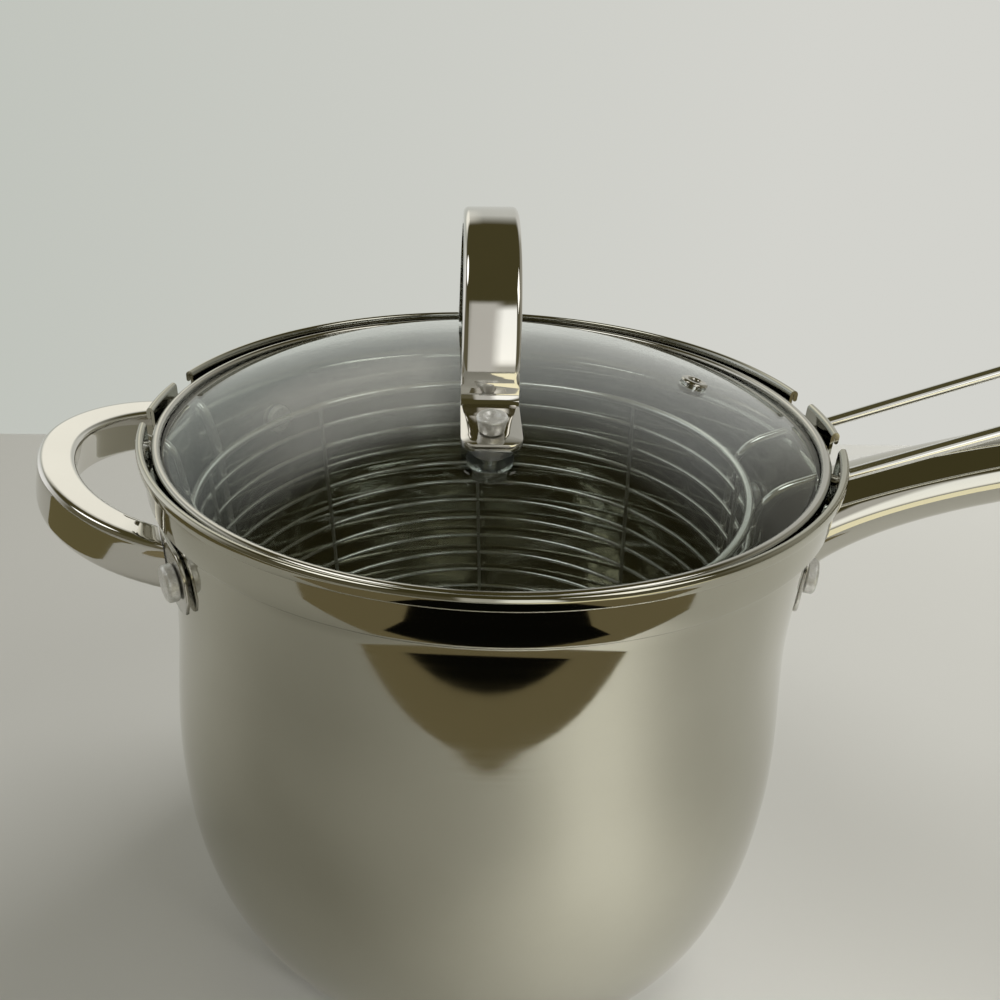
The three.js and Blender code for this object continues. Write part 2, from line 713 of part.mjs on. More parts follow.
function lid() {
  const group = new THREE.Group();
  const boreRadius = studShankRadius + seatGap;
  const studSpots = [["front", -studOffset], ["back", studOffset]];
  const studBores = (bottom, top) =>
    studSpots.map(([, y]) => cylinder(boreRadius, bottom, top, boreSegments).translate(0, y, 0));

  const slope = Math.asin(eyeletOffset / domeRadius);
  const eyeletMiddle = domeHeight(eyeletOffset) + glassThickness / 2;
  const seatEyelet = (geometry) => geometry.rotateY(slope).translate(eyeletOffset, 0, eyeletMiddle);
  const eyeletBoreReach = 2 * glassThickness;
  const eyeletBore = seatEyelet(
    cylinder(eyeletTubeRadius + seatGap, -eyeletBoreReach, eyeletBoreReach, boreSegments),
  );

  const crown = domeHeight(0) + glassThickness;
  const glassProfile = [...domeLine(0), ...domeLine(glassThickness).reverse()];
  const glass = cut(revolve(glassProfile, lidSegments), [...studBores(0, 2 * crown), eyeletBore]);
  group.add(piece("lid_glass", glass, "glass"));

  const lipRadius = lidRadius - lidRingLip;
  const lipTop = domeHeight(lipRadius) + glassThickness + seatGap;
  const ringTop = Math.max(lipTop + lidRingWall, lidRingHeight);
  const ringProfile = [
    [lipRadius, 0],
    [lidRadius - lidRingRound, 0],
    [lidRadius, lidRingRound],
    [lidRadius, ringTop - lidRingRound],
    [lidRadius - lidRingRound, ringTop],
    [lipRadius, ringTop],
    [lipRadius, ringTop - lidRingWall],
    [lidRadius - lidRingWall, ringTop - lidRingWall],
    [lidRadius - lidRingWall, lidRingWall],
    [lipRadius, lidRingWall],
    [lipRadius, 0],
  ];
  group.add(piece("lid_ring", revolve(ringProfile, lidSegments), "mirrorSteel"));

  const plateBottom = domeHeight(strapHalfSpan - strapThickness) + glassThickness + seatGap;
  const plateTop = plateBottom + footThickness;
  const archTop = plateTop + strapHeight;
  const innerHalf = strapHalfSpan - strapThickness;
  const shape = new THREE.Shape();
  shape.moveTo(-footReach, plateBottom);
  shape.lineTo(-footReach, plateTop);
  shape.lineTo(-strapHalfSpan, plateTop);
  shape.absellipse(0, plateTop, strapHalfSpan, strapHeight, Math.PI, 0, true);
  shape.lineTo(footReach, plateTop);
  shape.lineTo(footReach, plateBottom);
  shape.lineTo(innerHalf, plateBottom);
  shape.absellipse(0, plateBottom, innerHalf, archTop - strapThickness - plateBottom, 0, Math.PI, false);
  const strap = cut(sideways(shape, strapWidth, strapBevel, strapSegments), studBores(0, plateTop + seatGap));
  group.add(piece("lid_handle", strap, "mirrorSteel"));

  const under = [[0, -crown], [glassRadius, -crown], ...domeLine(glassThickness + seatGap).reverse()];
  const over = [...domeLine(-seatGap), [glassRadius, 2 * crown], [0, 2 * crown]];
  const washerTop = plateBottom - seatGap;
  const innerBottom = domeHeight(studOffset + innerWasherRadius) - 2 * seatGap - lidRingWall;
  const nutTop = innerBottom - seatGap;
  const studProfile = [
    [0, nutTop - nutHeight],
    [studShankRadius, nutTop - nutHeight],
    [studShankRadius, plateTop + seatGap],
    [studFootRadius, plateTop + seatGap],
    [studRadius, plateTop + studHeight - strapBevel],
    [studRadius - strapBevel, plateTop + studHeight],
    [studDimpleRadius, plateTop + studHeight],
    [0, plateTop + studHeight - studDimpleDepth],
  ];
  for (const [name, y] of studSpots) {
    const bores = studBores(-crown, 2 * crown);
    const seat = (geometry) => geometry.translate(0, y, 0);
    group.add(piece(`lid_stud_${name}`, seat(revolve(studProfile, boreSegments)), "aluminium"));
    const washer = seat(cylinder(washerRadius, 0, washerTop, washerSegments));
    const washerCut = cut(washer, [revolve(under, lidSegments), ...bores]);
    group.add(piece(`lid_washer_${name}`, washerCut, "silicone"));
    const inner = seat(cylinder(innerWasherRadius, innerBottom, crown, washerSegments));
    const innerCut = cut(inner, [revolve(over, lidSegments), ...bores]);
    group.add(piece(`lid_inner_washer_${name}`, innerCut, "silicone"));
    const nut = seat(cylinder(nutRadius, nutTop - nutHeight, nutTop, nutSides));
    group.add(piece(`lid_nut_${name}`, cut(nut, bores), "satinSteel"));
  }

  const flangeSeat = glassThickness / 2 + seatGap;
  const flangeTop = flangeSeat + eyeletFlangeHeight;
  const eyeletProfile = [
    [eyeletBoreRadius, -flangeTop],
    [eyeletFlangeRadius, -flangeTop],
    [eyeletFlangeRadius, -flangeSeat],
    [eyeletTubeRadius, -flangeSeat],
    [eyeletTubeRadius, flangeSeat],
    [eyeletFlangeRadius, flangeSeat],
    [eyeletBoreRadius, flangeTop],
    [eyeletBoreRadius, -flangeTop],
  ];
  group.add(piece("lid_vent_eyelet", seatEyelet(revolve(eyeletProfile, boreSegments)), "satinSteel"));

  const wireUnderRing = Math.sqrt(lidRadius ** 2 - handleWireSpread ** 2);
  group.position.z = wireHeight(wireUnderRing) + wireHalfHeight + seatGap;
  group.rotation.z = lidTurn;
  return group;
}

const stockpot = new THREE.Group();
stockpot.add(pot(), basket(), lid());

export default stockpot;
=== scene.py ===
"""Deep cooking pot with a hanging wire basket and a domed glass lid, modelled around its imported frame.

Lengths are in millimetres until they reach an operator of Blender, which gets metres.
The base stands on z = 0, the long handle points along +X and the loop handle along -X.
"""

import logging
import math
from dataclasses import dataclass, field, replace
from enum import Enum
from typing import Callable, Sequence, Union

import bmesh
import bpy
from mathutils import Matrix, Vector


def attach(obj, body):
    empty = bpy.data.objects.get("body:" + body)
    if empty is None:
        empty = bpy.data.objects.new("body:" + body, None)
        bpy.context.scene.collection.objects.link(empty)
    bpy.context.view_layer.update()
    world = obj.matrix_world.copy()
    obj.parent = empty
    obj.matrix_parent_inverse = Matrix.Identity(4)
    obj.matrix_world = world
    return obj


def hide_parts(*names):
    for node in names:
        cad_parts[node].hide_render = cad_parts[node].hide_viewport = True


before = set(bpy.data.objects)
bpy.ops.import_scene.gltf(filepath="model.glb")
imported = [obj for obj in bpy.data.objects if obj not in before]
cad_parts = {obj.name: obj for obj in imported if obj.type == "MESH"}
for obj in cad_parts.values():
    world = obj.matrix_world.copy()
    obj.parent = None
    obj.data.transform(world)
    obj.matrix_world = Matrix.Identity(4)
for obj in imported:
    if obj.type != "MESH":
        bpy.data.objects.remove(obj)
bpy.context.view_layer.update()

LOG = logging.getLogger("pot_with_basket")
MM = 0.001
SEAT_GAP = 0.35
MERGE_DISTANCE = 1e-6
EDGE_SLACK = 0.1
SMOOTH_ANGLE = 38.0
FINE_ANGLE = 30.0

Piece = bpy.types.Object
Colour = tuple[float, float, float]
Point2 = tuple[float, float]
Point3 = tuple[float, float, float]
Box = tuple[float, float, float, float]
Input = Union["Value", float, Sequence[float]]


class Body(Enum):
    """The rigid bodies that pieces ride on."""

    POT = "pot"
    BASKET = "basket"
    LID = "lid"


class Slot(Enum):
    """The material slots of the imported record."""

    MIRROR_STEEL = "mirror_steel"
    SATIN_STEEL = "satin_steel"
    WIRE_STEEL = "wire_steel"
    ALUMINIUM = "satin_aluminium"
    GLASS = "clear_glass"
    SILICONE = "silicone"


# Shader maths


class Value:
    """A socket of a shader tree that takes part in arithmetic."""

    def __init__(self, shader: "Shader", socket: bpy.types.NodeSocket) -> None:
        """Wraps a socket of a shader's tree."""
        self.shader = shader
        self.socket = socket

    def _maths(self, operation: str, first: Input, second: Input) -> "Value":
        """Adds a Math node for one operation on two values."""
        return self.shader.node("ShaderNodeMath", {"operation": operation}, {0: first, 1: second})

    def __add__(self, other: Input) -> "Value":
        """Sum with a value or a number."""
        return self._maths("ADD", self, other)

    def __radd__(self, other: Input) -> "Value":
        """Sum of a number and this value."""
        return self._maths("ADD", other, self)

    def __sub__(self, other: Input) -> "Value":
        """Difference to a value or a number."""
        return self._maths("SUBTRACT", self, other)

    def __rsub__(self, other: Input) -> "Value":
        """Difference of a number and this value."""
        return self._maths("SUBTRACT", other, self)

    def __mul__(self, other: Input) -> "Value":
        """Product with a value or a number."""
        return self._maths("MULTIPLY", self, other)


class Shader:
    """The node tree of one material or of the world."""

    def __init__(self, owner: Union[bpy.types.Material, bpy.types.World]) -> None:
        """Empties the owner's tree.

        Args:
            owner: the material or the world.
        """
        owner.use_nodes = True
        self.tree = owner.node_tree
        self.tree.nodes.clear()

    def node(
        self,
        kind: str,
        settings: dict[str, object] | None = None,
        inputs: dict[int | str, Input] | None = None,
        output: int | str = 0,
    ) -> Value:
        """Adds one node.

        Args:
            kind: the node's type.
            settings: its properties, set first; "stops" holds a ramp's (position, colour) pairs.
            inputs: the numbers, colours or linked values of its sockets.
            output: which output comes back.

        Returns:
            That output, or the first input of a node that has none.
        """
        made = self.tree.nodes.new(kind)
        for key, setting in (settings or {}).items():
            if key == "stops":
                self._lay_stops(made.color_ramp, setting)
            else:
                setattr(made, key, setting)
        for key, given in (inputs or {}).items():
            socket = made.inputs[key]
            if isinstance(given, Value):
                self.tree.links.new(given.socket, socket)
            elif socket.type == "RGBA":
                socket.default_value = (*given[:3], 1.0)
            else:
                socket.default_value = given
        return Value(self, made.outputs[output] if made.outputs else made.inputs[0])

    @staticmethod
    def _lay_stops(ramp: bpy.types.ColorRamp, stops: Sequence[tuple[float, Colour]]) -> None:
        """Gives a ramp its stops.

        Args:
            ramp: the ramp of a node.
            stops: its (position, colour) pairs.
        """
        while len(ramp.elements) < len(stops):
            ramp.elements.new(0.5)
        for element, (position, colour) in zip(ramp.elements, stops):
            element.position = position
            element.color = (*colour, 1.0)

    def place(self) -> Value:
        """Object coordinates, which are the row frame's."""
        return self.node("ShaderNodeTexCoord", output="Object")

    def noise(self, place: Value, scale: float, detail: float = 3.0, roughness: float = 0.55) -> Value:
        """Adds a noise of so many features a metre."""
        inputs = {"Vector": place, "Scale": scale, "Detail": detail, "Roughness": roughness}
        return self.node("ShaderNodeTexNoise", None, inputs)

    def stretched(self, place: Value, scale: Sequence[float]) -> Value:
        """Scales coordinates along each axis."""
        return self.node("ShaderNodeMapping", None, {"Vector": place, "Scale": scale})

    def ramp(self, factor: Value, low: float, high: float) -> Value:
        """Stretches the range from low to high to the range from 0 to 1."""
        inputs = {"Value": factor, "From Min": low, "From Max": high}
        return self.node("ShaderNodeMapRange", {"clamp": True}, inputs)

    def mix(self, factor: Input, first: Input, second: Input) -> Value:
        """Mixes two colours."""
        return self.node("ShaderNodeMix", {"data_type": "RGBA"}, {0: factor, 6: first, 7: second}, 2)

    def bump(self, height: Value) -> Value:
        """Turns a height in millimetres into a normal."""
        return self.node("ShaderNodeBump", None, {"Strength": 1.0, "Distance": MM, "Height": height})

    def surface(self, inputs: dict[int | str, Input]) -> None:
        """Adds the Principled shader and the output."""
        bsdf = self.node("ShaderNodeBsdfPrincipled", None, inputs)
        self.node("ShaderNodeOutputMaterial", None, {"Surface": bsdf})


# Finishes


@dataclass(frozen=True)
class Finish:
    """A finish that is painted once, into a material of its own name."""

    name: str
    colour: Colour

    def paint(self, shader: Shader) -> None:
        """Lays the nodes of the finish."""
        raise NotImplementedError

    def material(self) -> bpy.types.Material:
        """Makes the material where it is not there yet.

        Returns:
            The material of this finish.
        """
        made = bpy.data.materials.get(self.name)
        if not made:
            made = bpy.data.materials.new(self.name)
            self.paint(Shader(made))
        return made


@dataclass(frozen=True)
class Steel(Finish):
    """Stainless steel with a grain of fine lines, soft smudges and a slight waviness."""

    smudge_colour: Colour
    roughness: float
    grain: Point3
    grain_spread: float
    relief: float
    wave: float = 0.0
    smudge_spread: float = 0.06
    smudges: float = 16.0
    smudge_range: Point2 = (0.3, 0.7)
    metallic: float = 1.0

    def paint(self, shader: Shader) -> None:
        """Lays the grain, the smudges and the relief.

        Args:
            shader: the tree that is painted.
        """
        place = shader.place()
        grain = shader.noise(shader.stretched(place, self.grain), 1.0)
        smudge = shader.ramp(shader.noise(place, self.smudges, 4.0, 0.6), *self.smudge_range)
        scuff = shader.noise(shader.stretched(place, [3 * lines for lines in self.grain]), 1.0, 2.0)
        roughness = self.roughness + (grain - 0.5) * self.grain_spread + (smudge - 0.5) * self.smudge_spread
        height = grain * self.relief + scuff * (0.5 * self.relief) + smudge * self.wave
        shader.surface(
            {
                "Base Color": shader.mix(smudge, self.colour, self.smudge_colour),
                "Metallic": self.metallic,
                "Roughness": roughness,
                "Normal": shader.bump(height),
            }
        )


@dataclass(frozen=True)
class CastAluminium(Finish):
    """Aluminium with a brushed face and fine pits."""

    pit_colour: Colour
    roughness: float
    lines: Point3
    line_spread: float = 0.25
    line_relief: float = 0.012
    pits: float = 900.0
    pit_range: Point2 = (0.35, 0.6)
    pit_spread: float = 0.12
    pit_relief: float = 0.02
    metallic: float = 0.6

    def paint(self, shader: Shader) -> None:
        """Lays the brushed lines and the pits.

        Args:
            shader: the tree that is painted.
        """
        place = shader.place()
        lines = shader.noise(shader.stretched(place, self.lines), 1.0, 2.0)
        pits = shader.ramp(shader.noise(place, self.pits, 4.0, 0.7), *self.pit_range)
        shader.surface(
            {
                "Base Color": shader.mix(pits, self.pit_colour, self.colour),
                "Metallic": self.metallic,
                "Roughness": self.roughness + (lines - 0.5) * self.line_spread + (1 - pits) * self.pit_spread,
                "Normal": shader.bump(lines * self.line_relief + pits * self.pit_relief),
            }
        )


@dataclass(frozen=True)
class TemperedGlass(Finish):
    """Clear glass with a faint tint and the film that wiping leaves."""

    film: float
    film_range: Point2 = (0.45, 0.75)
    wipes: Point3 = (9.0, 26.0, 9.0)
    relief: float = 0.004
    ior: float = 1.5

    def paint(self, shader: Shader) -> None:
        """Lays the film and the faint waves of the glass.

        Args:
            shader: the tree that is painted.
        """
        wipes = shader.noise(shader.stretched(shader.place(), self.wipes), 1.0, 4.0, 0.6)
        film = shader.ramp(wipes, *self.film_range)
        shader.surface(
            {
                "Base Color": self.colour,
                "Roughness": film * self.film,
                "IOR": self.ior,
                "Transmission Weight": 1.0,
                "Normal": shader.bump(wipes * self.relief),
            }
        )


@dataclass(frozen=True)
class ClearSilicone(Finish):
    """Milky translucent silicone."""

    clouds: float = 260.0
    relief: float = 0.03
    roughness: float = 0.08
    cloud_spread: float = 0.12
    cloud_shade: float = 0.9
    clearness: float = 0.95
    ior: float = 1.41

    def paint(self, shader: Shader) -> None:
        """Lays the milky clouds.

        Args:
            shader: the tree that is painted.
        """
        cloud = shader.noise(shader.place(), self.clouds, 3.0)
        shader.surface(
            {
                "Base Color": shader.mix(cloud, self.colour, [self.cloud_shade * part for part in self.colour]),
                "Roughness": self.roughness + cloud * self.cloud_spread,
                "IOR": self.ior,
                "Transmission Weight": self.clearness,
                "Normal": shader.bump(cloud * self.relief),
            }
        )


# Partly the steel's own colour, partly painted shade: the body's base colour is darker than the handles' steel, for
# the shaded floor that it mirrors.
SHADED_BODY_STEEL = Steel(
    name="polished_body",
    colour=(0.50, 0.487, 0.415),
    smudge_colour=(0.47, 0.457, 0.385),
    roughness=0.065,
    grain=(4.0, 4.0, 700.0),
    grain_spread=0.05,
    relief=0.0002,
    wave=0.01,
    smudge_spread=0.05,
)
# Painted shade: the inside takes the same polished steel in a darker colour than the outside.
SHADED_INSIDE_STEEL = Steel(
    name="polished_inside",
    colour=(0.43, 0.435, 0.40),
    smudge_colour=(0.39, 0.395, 0.36),
    roughness=0.07,
    grain=(4.0, 4.0, 260.0),
    grain_spread=0.04,
    relief=0.0,
    wave=0.006,
    smudge_spread=0.04,
)
POLISHED_HANDLE = Steel(
    name="polished_handle",
    colour=(0.72, 0.705, 0.665),
    smudge_colour=(0.69, 0.675, 0.635),
    roughness=0.05,
    grain=(30.0, 700.0, 700.0),
    grain_spread=0.03,
    relief=0.0001,
    wave=0.01,
    smudge_spread=0.04,
    smudges=24.0,
)
POLISHED_STRAP = Steel(
    name="polished_strap",
    colour=(0.73, 0.71, 0.67),
    smudge_colour=(0.69, 0.67, 0.63),
    roughness=0.05,
    grain=(900.0, 40.0, 40.0),
    grain_spread=0.03,
    relief=0.0001,
    wave=0.008,
    smudge_spread=0.04,
    smudges=30.0,
)
# Painted shade: the long handle takes the loop handle's steel in a darker colour.
SHADED_GRIP_STEEL = replace(
    POLISHED_HANDLE, name="polished_grip", colour=(0.60, 0.585, 0.53), smudge_colour=(0.57, 0.555, 0.50)
)
BRIGHT_RING = Steel(
    name="bright_ring",
    colour=(0.56, 0.545, 0.50),
    smudge_colour=(0.52, 0.505, 0.46),
    roughness=0.1,
    grain=(12.0, 12.0, 1200.0),
    grain_spread=0.05,
    relief=0.0002,
    wave=0.006,
)
SATIN_PLATE = Steel(
    name="satin_plate",
    colour=(0.66, 0.65, 0.62),
    smudge_colour=(0.60, 0.59, 0.56),
    roughness=0.22,
    grain=(14.0, 14.0, 800.0),
    grain_spread=0.12,
    relief=0.001,
)
DRAWN_WIRE = Steel(
    name="drawn_wire",
    colour=(0.90, 0.90, 0.88),
    smudge_colour=(0.84, 0.84, 0.82),
    roughness=0.12,
    metallic=0.75,
    grain=(160.0, 160.0, 160.0),
    grain_spread=0.06,
    relief=0.0006,
    smudges=45.0,
    smudge_spread=0.06,
)
POLISHED_WIRE = replace(DRAWN_WIRE, name="polished_wire", roughness=0.06, metallic=1.0)
RIVET_METAL = CastAluminium("rivet_metal", (0.90, 0.90, 0.885), (0.70, 0.70, 0.685), 0.36, (60.0, 60.0, 1200.0))
LID_GLASS = TemperedGlass("lid_glass_clear", (0.87, 0.91, 0.885), 0.04)
WASHER_SILICONE = ClearSilicone("washer_silicone", (0.86, 0.88, 0.87))


# Modelling


class Bench:
    """The operators that every piece is modelled with."""

    WIRE_SIDES = 12
    WELD_REACH = 1.3
    WELD_SWELL = 1.22

    @staticmethod
    def begin() -> None:
        """Leaves edit mode and deselects everything."""
        if bpy.context.mode != "OBJECT":
            bpy.ops.object.mode_set(mode="OBJECT")
        bpy.ops.object.select_all(action="DESELECT")

    @staticmethod
    def take(piece: Piece) -> None:
        """Makes one object the selected and active one.

        Args:
            piece: that object.
        """
        Bench.begin()
        piece.select_set(True)
        bpy.context.view_layer.objects.active = piece

    @staticmethod
    def made(name: str) -> Piece:
        """Names the object that an operator has just made, and applies its place to its mesh.

        Args:
            name: the new object's name.

        Returns:
            The new object.
        """
        piece = bpy.context.object
        piece.name = name
        bpy.ops.object.transform_apply(location=True, rotation=True, scale=True)
        return piece

    @staticmethod
    def chain(name: str, points: Sequence[Vector]) -> Piece:
        """Draws a row of joined points by extruding a vertex, and stays in edit mode.

        Args:
            name: the new object's name.
            points: the row of points.

        Returns:
            The new object.
        """
        Bench.begin()
        bpy.ops.mesh.primitive_plane_add(size=MM)
        piece = Bench.made(name)
        bpy.ops.object.mode_set(mode="EDIT")
        bpy.ops.mesh.merge(type="CENTER")
        bpy.ops.transform.translate(value=points[0] * MM)
        for before, after in zip(points, points[1:]):
            bpy.ops.mesh.extrude_region_move(TRANSFORM_OT_translate={"value": (after - before) * MM})
        return piece

    @staticmethod
    def seal() -> None:
        """Merges doubles, turns the faces outwards and leaves edit mode."""
        bpy.ops.mesh.select_all(action="SELECT")
        bpy.ops.mesh.remove_doubles(threshold=MERGE_DISTANCE)
        bpy.ops.mesh.normals_make_consistent(inside=False)
        bpy.ops.object.mode_set(mode="OBJECT")

    @staticmethod
    def lathe(name: str, profile: Sequence[Point2], steps: int) -> Piece:
        """Turns a profile of (radius, height) pairs about Z.

        Args:
            name: the new object's name.
            profile: from the axis round to the axis, or back to its first point.
            steps: facets of the turn.

        Returns:
            The new object.
        """
        piece = Bench.chain(name, [Vector((radius, 0, height)) for radius, height in profile])
        bpy.ops.mesh.select_all(action="SELECT")
        bpy.ops.mesh.spin(steps=steps, angle=math.tau, center=(0, 0, 0), axis=(0, 0, 1))
        Bench.seal()
        return piece

    @staticmethod
    def loft(name: str, rings: Sequence[Sequence[Vector]]) -> Piece:
        """Bridges a row of rings and closes both ends.

        Args:
            name: the new object's name.
            rings: sections with the same number of points.

        Returns:
            The new object.
        """
        count = len(rings[0])
        Bench.begin()
        bpy.ops.mesh.primitive_circle_add(vertices=count, radius=MM)
        piece = Bench.made(name)
        bpy.ops.object.mode_set(mode="EDIT")
        for _ in rings[1:]:
            bpy.ops.mesh.primitive_circle_add(vertices=count, radius=MM)
        shape = bmesh.from_edit_mesh(piece.data)
        shape.verts.ensure_lookup_table()
        for index, point in enumerate(point for ring in rings for point in ring):
            shape.verts[index].co = point * MM
        for first in range(len(rings) - 1):
            Bench.pick(piece, lambda vertex: first <= vertex.index // count <= first + 1)
            bpy.ops.mesh.bridge_edge_loops()
        for end in (0, len(rings) - 1):
            Bench.pick(piece, lambda vertex: vertex.index // count == end)
            bpy.ops.mesh.edge_face_add()
        Bench.seal()
        return piece

    @staticmethod
    def pick(piece: Piece, test: Callable[[bmesh.types.BMVert], bool]) -> None:
        """Selects vertices in edit mode.

        Args:
            piece: the object in edit mode.
            test: tells whether a vertex is selected.
        """
        bpy.ops.mesh.select_all(action="DESELECT")
        shape = bmesh.from_edit_mesh(piece.data)
        shape.verts.index_update()
        for vertex in shape.verts:
            vertex.select_set(test(vertex))
        shape.select_flush_mode()
        bmesh.update_edit_mesh(piece.data)

    @staticmethod
    def wire(name: str, points: Sequence[Vector], radius: float, fineness: int = 3) -> Piece:
        """Runs a round wire along a row of points.

        Args:
            name: the new object's name.
            points: the middle of the wire.
            radius: the wire's radius.
            fineness: how finely its section is divided.

        Returns:
            The new object.
        """
        Bench.begin()
        bpy.ops.curve.primitive_nurbs_path_add()
        piece = bpy.context.object
        piece.name = name
        curve = piece.data
        curve.splines.clear()
        spline = curve.splines.new("POLY")
        spline.points.add(len(points) - 1)
        for place, point in zip(spline.points, points):
            place.co = (*(point * MM), 1.0)
        curve.dimensions = "3D"
        curve.bevel_depth = radius * MM
        curve.bevel_resolution = fineness
        curve.use_fill_caps = True
        bpy.ops.object.convert(target="MESH")
        bpy.ops.object.mode_set(mode="EDIT")
        Bench.seal()
        return piece

    @staticmethod
    def ring(name: str, radius: float, height: float, wire: float, steps: int, joint: float) -> Piece:
        """Closes a wire to a ring, with the swelling of a butt weld.

        Args:
            name: the new object's name.
            radius: to the middle of the wire.
            height: of the ring.
            wire: the wire's radius.
            steps: facets round the ring.
            joint: azimuth of the weld.

        Returns:
            The new object.
        """
        Bench.begin()
        bpy.ops.mesh.primitive_torus_add(
            location=(0, 0, height * MM),
            major_radius=radius * MM,
            minor_radius=wire * MM,
            major_segments=steps,
            minor_segments=Bench.WIRE_SIDES,
        )
        piece = Bench.made(name)
        bpy.ops.object.mode_set(mode="EDIT")
        turn = round(joint / math.tau * steps) * math.tau / steps
        weld = Vector((math.cos(turn), math.sin(turn), 0)) * radius * MM + Vector((0, 0, height * MM))
        Bench.pick(piece, lambda vertex: (vertex.co - weld).length < Bench.WELD_REACH * wire * MM)
        bpy.ops.transform.resize(value=(Bench.WELD_SWELL,) * 3, center_override=weld)
        bpy.ops.object.mode_set(mode="OBJECT")
        return piece

    @staticmethod
    def carve(piece: Piece, cutter: Piece) -> None:
        """Cuts one solid out of another and drops the cutter.

        Args:
            piece: the solid that is cut.
            cutter: the solid that is taken away.
        """
        Bench.take(piece)
        change = piece.modifiers.new("cut", "BOOLEAN")
        change.operation = "DIFFERENCE"
        change.solver = "EXACT"
        change.object = cutter
        bpy.ops.object.modifier_apply(modifier=change.name)
        bpy.data.objects.remove(cutter, do_unlink=True)

    @staticmethod
    def soften(piece: Piece, width: float, segments: int = 3, angle: float = 40.0) -> None:
        """Rounds the sharp edges of a piece.

        Args:
            piece: the finished object.
            width: of the rounding.
            segments: facets of the rounding.
            angle: in degrees, above which an edge is sharp.
        """
        Bench.take(piece)
        change = piece.modifiers.new("edges", "BEVEL")
        change.width = width * MM
        change.segments = segments
        change.limit_method = "ANGLE"
        change.angle_limit = math.radians(angle)
        bpy.ops.object.modifier_apply(modifier=change.name)

    @staticmethod
    def round_edges(
        piece: Piece, test: Callable[[bmesh.types.BMEdge], bool], width: float, segments: int = 8
    ) -> None:
        """Rounds chosen edges in edit mode.

        Args:
            piece: the object in edit mode.
            test: tells whether an edge is rounded.
            width: of the rounding.
            segments: facets of the rounding.
        """
        bpy.ops.mesh.select_mode(type="EDGE")
        bpy.ops.mesh.select_all(action="DESELECT")
        shape = bmesh.from_edit_mesh(piece.data)
        for edge in [edge for edge in shape.edges if test(edge)]:
            edge.select_set(True)
        bmesh.update_edit_mesh(piece.data)
        bpy.ops.mesh.bevel(offset=width * MM, segments=segments, affect="EDGES")
        bpy.ops.mesh.select_mode(type="VERT")

    @staticmethod
    def rod(name: str, radius: float, bottom: float, top: float, steps: int) -> Piece:
        """Adds a rod along Z.

        Args:
            name: the new object's name.
            radius: of the rod.
            bottom: its lower end.
            top: its upper end.
            steps: its number of sides.

        Returns:
            The new object.
        """
        Bench.begin()
        bpy.ops.mesh.primitive_cylinder_add(
            vertices=steps,
            radius=radius * MM,
            depth=(top - bottom) * MM,
            location=(0, 0, (bottom + top) / 2 * MM),
        )
        return Bench.made(name)

    @staticmethod
    def move(piece: Piece, place: Matrix) -> None:
        """Puts a piece in place and applies that to its mesh.

        Args:
            piece: the object that is moved.
            place: where to, in millimetres.
        """
        Bench.take(piece)
        metres = place.copy()
        metres.translation = place.translation * MM
        piece.matrix_world = metres @ piece.matrix_world
        bpy.ops.object.transform_apply(location=True, rotation=True, scale=True)

    @staticmethod
    def remap(piece: Piece, rule: Callable[[Vector], Vector]) -> None:
        """Moves each vertex by a rule from millimetres to millimetres."""
        for vertex in piece.data.vertices:
            vertex.co = rule(vertex.co / MM) * MM

    @staticmethod
    def join(pieces: Sequence[Piece]) -> Piece:
        """Joins several objects into the first.

        Args:
            pieces: the objects.

        Returns:
            The first of them.
        """
        Bench.take(pieces[0])
        for piece in pieces[1:]:
            piece.select_set(True)
        bpy.ops.object.join()
        return pieces[0]

    @staticmethod
    def repeat(pattern: Piece, places: dict[str, Matrix]) -> list[Piece]:
        """Copies a pattern to each of its places and drops the pattern.

        Args:
            pattern: the piece that repeats.
            places: a matrix in millimetres for each copy's name.

        Returns:
            The copies, each with a mesh of its own.
        """
        copies = []
        for name, place in places.items():
            Bench.take(pattern)
            bpy.ops.object.duplicate(linked=False)
            copy = bpy.context.object
            copy.name = name
            Bench.move(copy, place)
            copies.append(copy)
        bpy.data.objects.remove(pattern, do_unlink=True)
        return copies

    @staticmethod
    def dress(
        piece: Piece,
        finish: Finish,
        body: Body,
        slot: Slot,
        *nodes: str,
        angle: float = SMOOTH_ANGLE,
    ) -> Piece:
        """Shades a finished piece, gives it its finish and ties it to the frame.

        Args:
            piece: the finished object.
            finish: what it is made of.
            body: the body that it moves with.
            slot: the record's slot of its finish; not used.
            nodes: the CAD nodes that it stands for.
            angle: edges sharper than this stay sharp.

        Returns:
            The piece.
        """
        Bench.take(piece)
        bpy.ops.object.shade_smooth_by_angle(angle=math.radians(angle))
        piece.data.materials.clear()
        piece.data.materials.append(finish.material())
        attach(piece, body.value)
        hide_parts(*nodes)
        LOG.info("%s: %d faces for %s", piece.name, len(piece.data.polygons), ", ".join(nodes))
        return piece


def arc(centre: Point2, radii: Point2, start: float, end: float, steps: int) -> list[Point2]:
    """Points on an elliptic arc.

    Args:
        centre: of the arc.
        radii: across and up.
        start: first angle in degrees.
        end: last angle in degrees.
        steps: number of stretches.

    Returns:
        The points, both ends included.
    """
    points = []
    for index in range(steps + 1):
        angle = math.radians(start + (end - start) * index / steps)
        points.append((centre[0] + radii[0] * math.cos(angle), centre[1] + radii[1] * math.sin(angle)))
    return points


def section(centre: Vector, across: Vector, upward: Vector, size: Point2, power: float, count: int) -> list[Vector]:
    """Superellipse section of a handle.

    Args:
        centre: middle of the section.
        across: unit vector along its width.
        upward: unit vector along its depth.
        size: width and depth.
        power: exponent of the superellipse.
        count: number of points.

    Returns:
        The ring of points.
    """
    ring = []
    for index in range(count):
        angle = math.tau * (index + 0.5) / count
        side, rise = math.cos(angle), math.sin(angle)
        x = math.copysign(abs(side) ** (2 / power), side) * size[0] / 2
        z = math.copysign(abs(rise) ** (2 / power), rise) * size[1] / 2
        ring.append(centre + across * x + upward * z)
    return ring


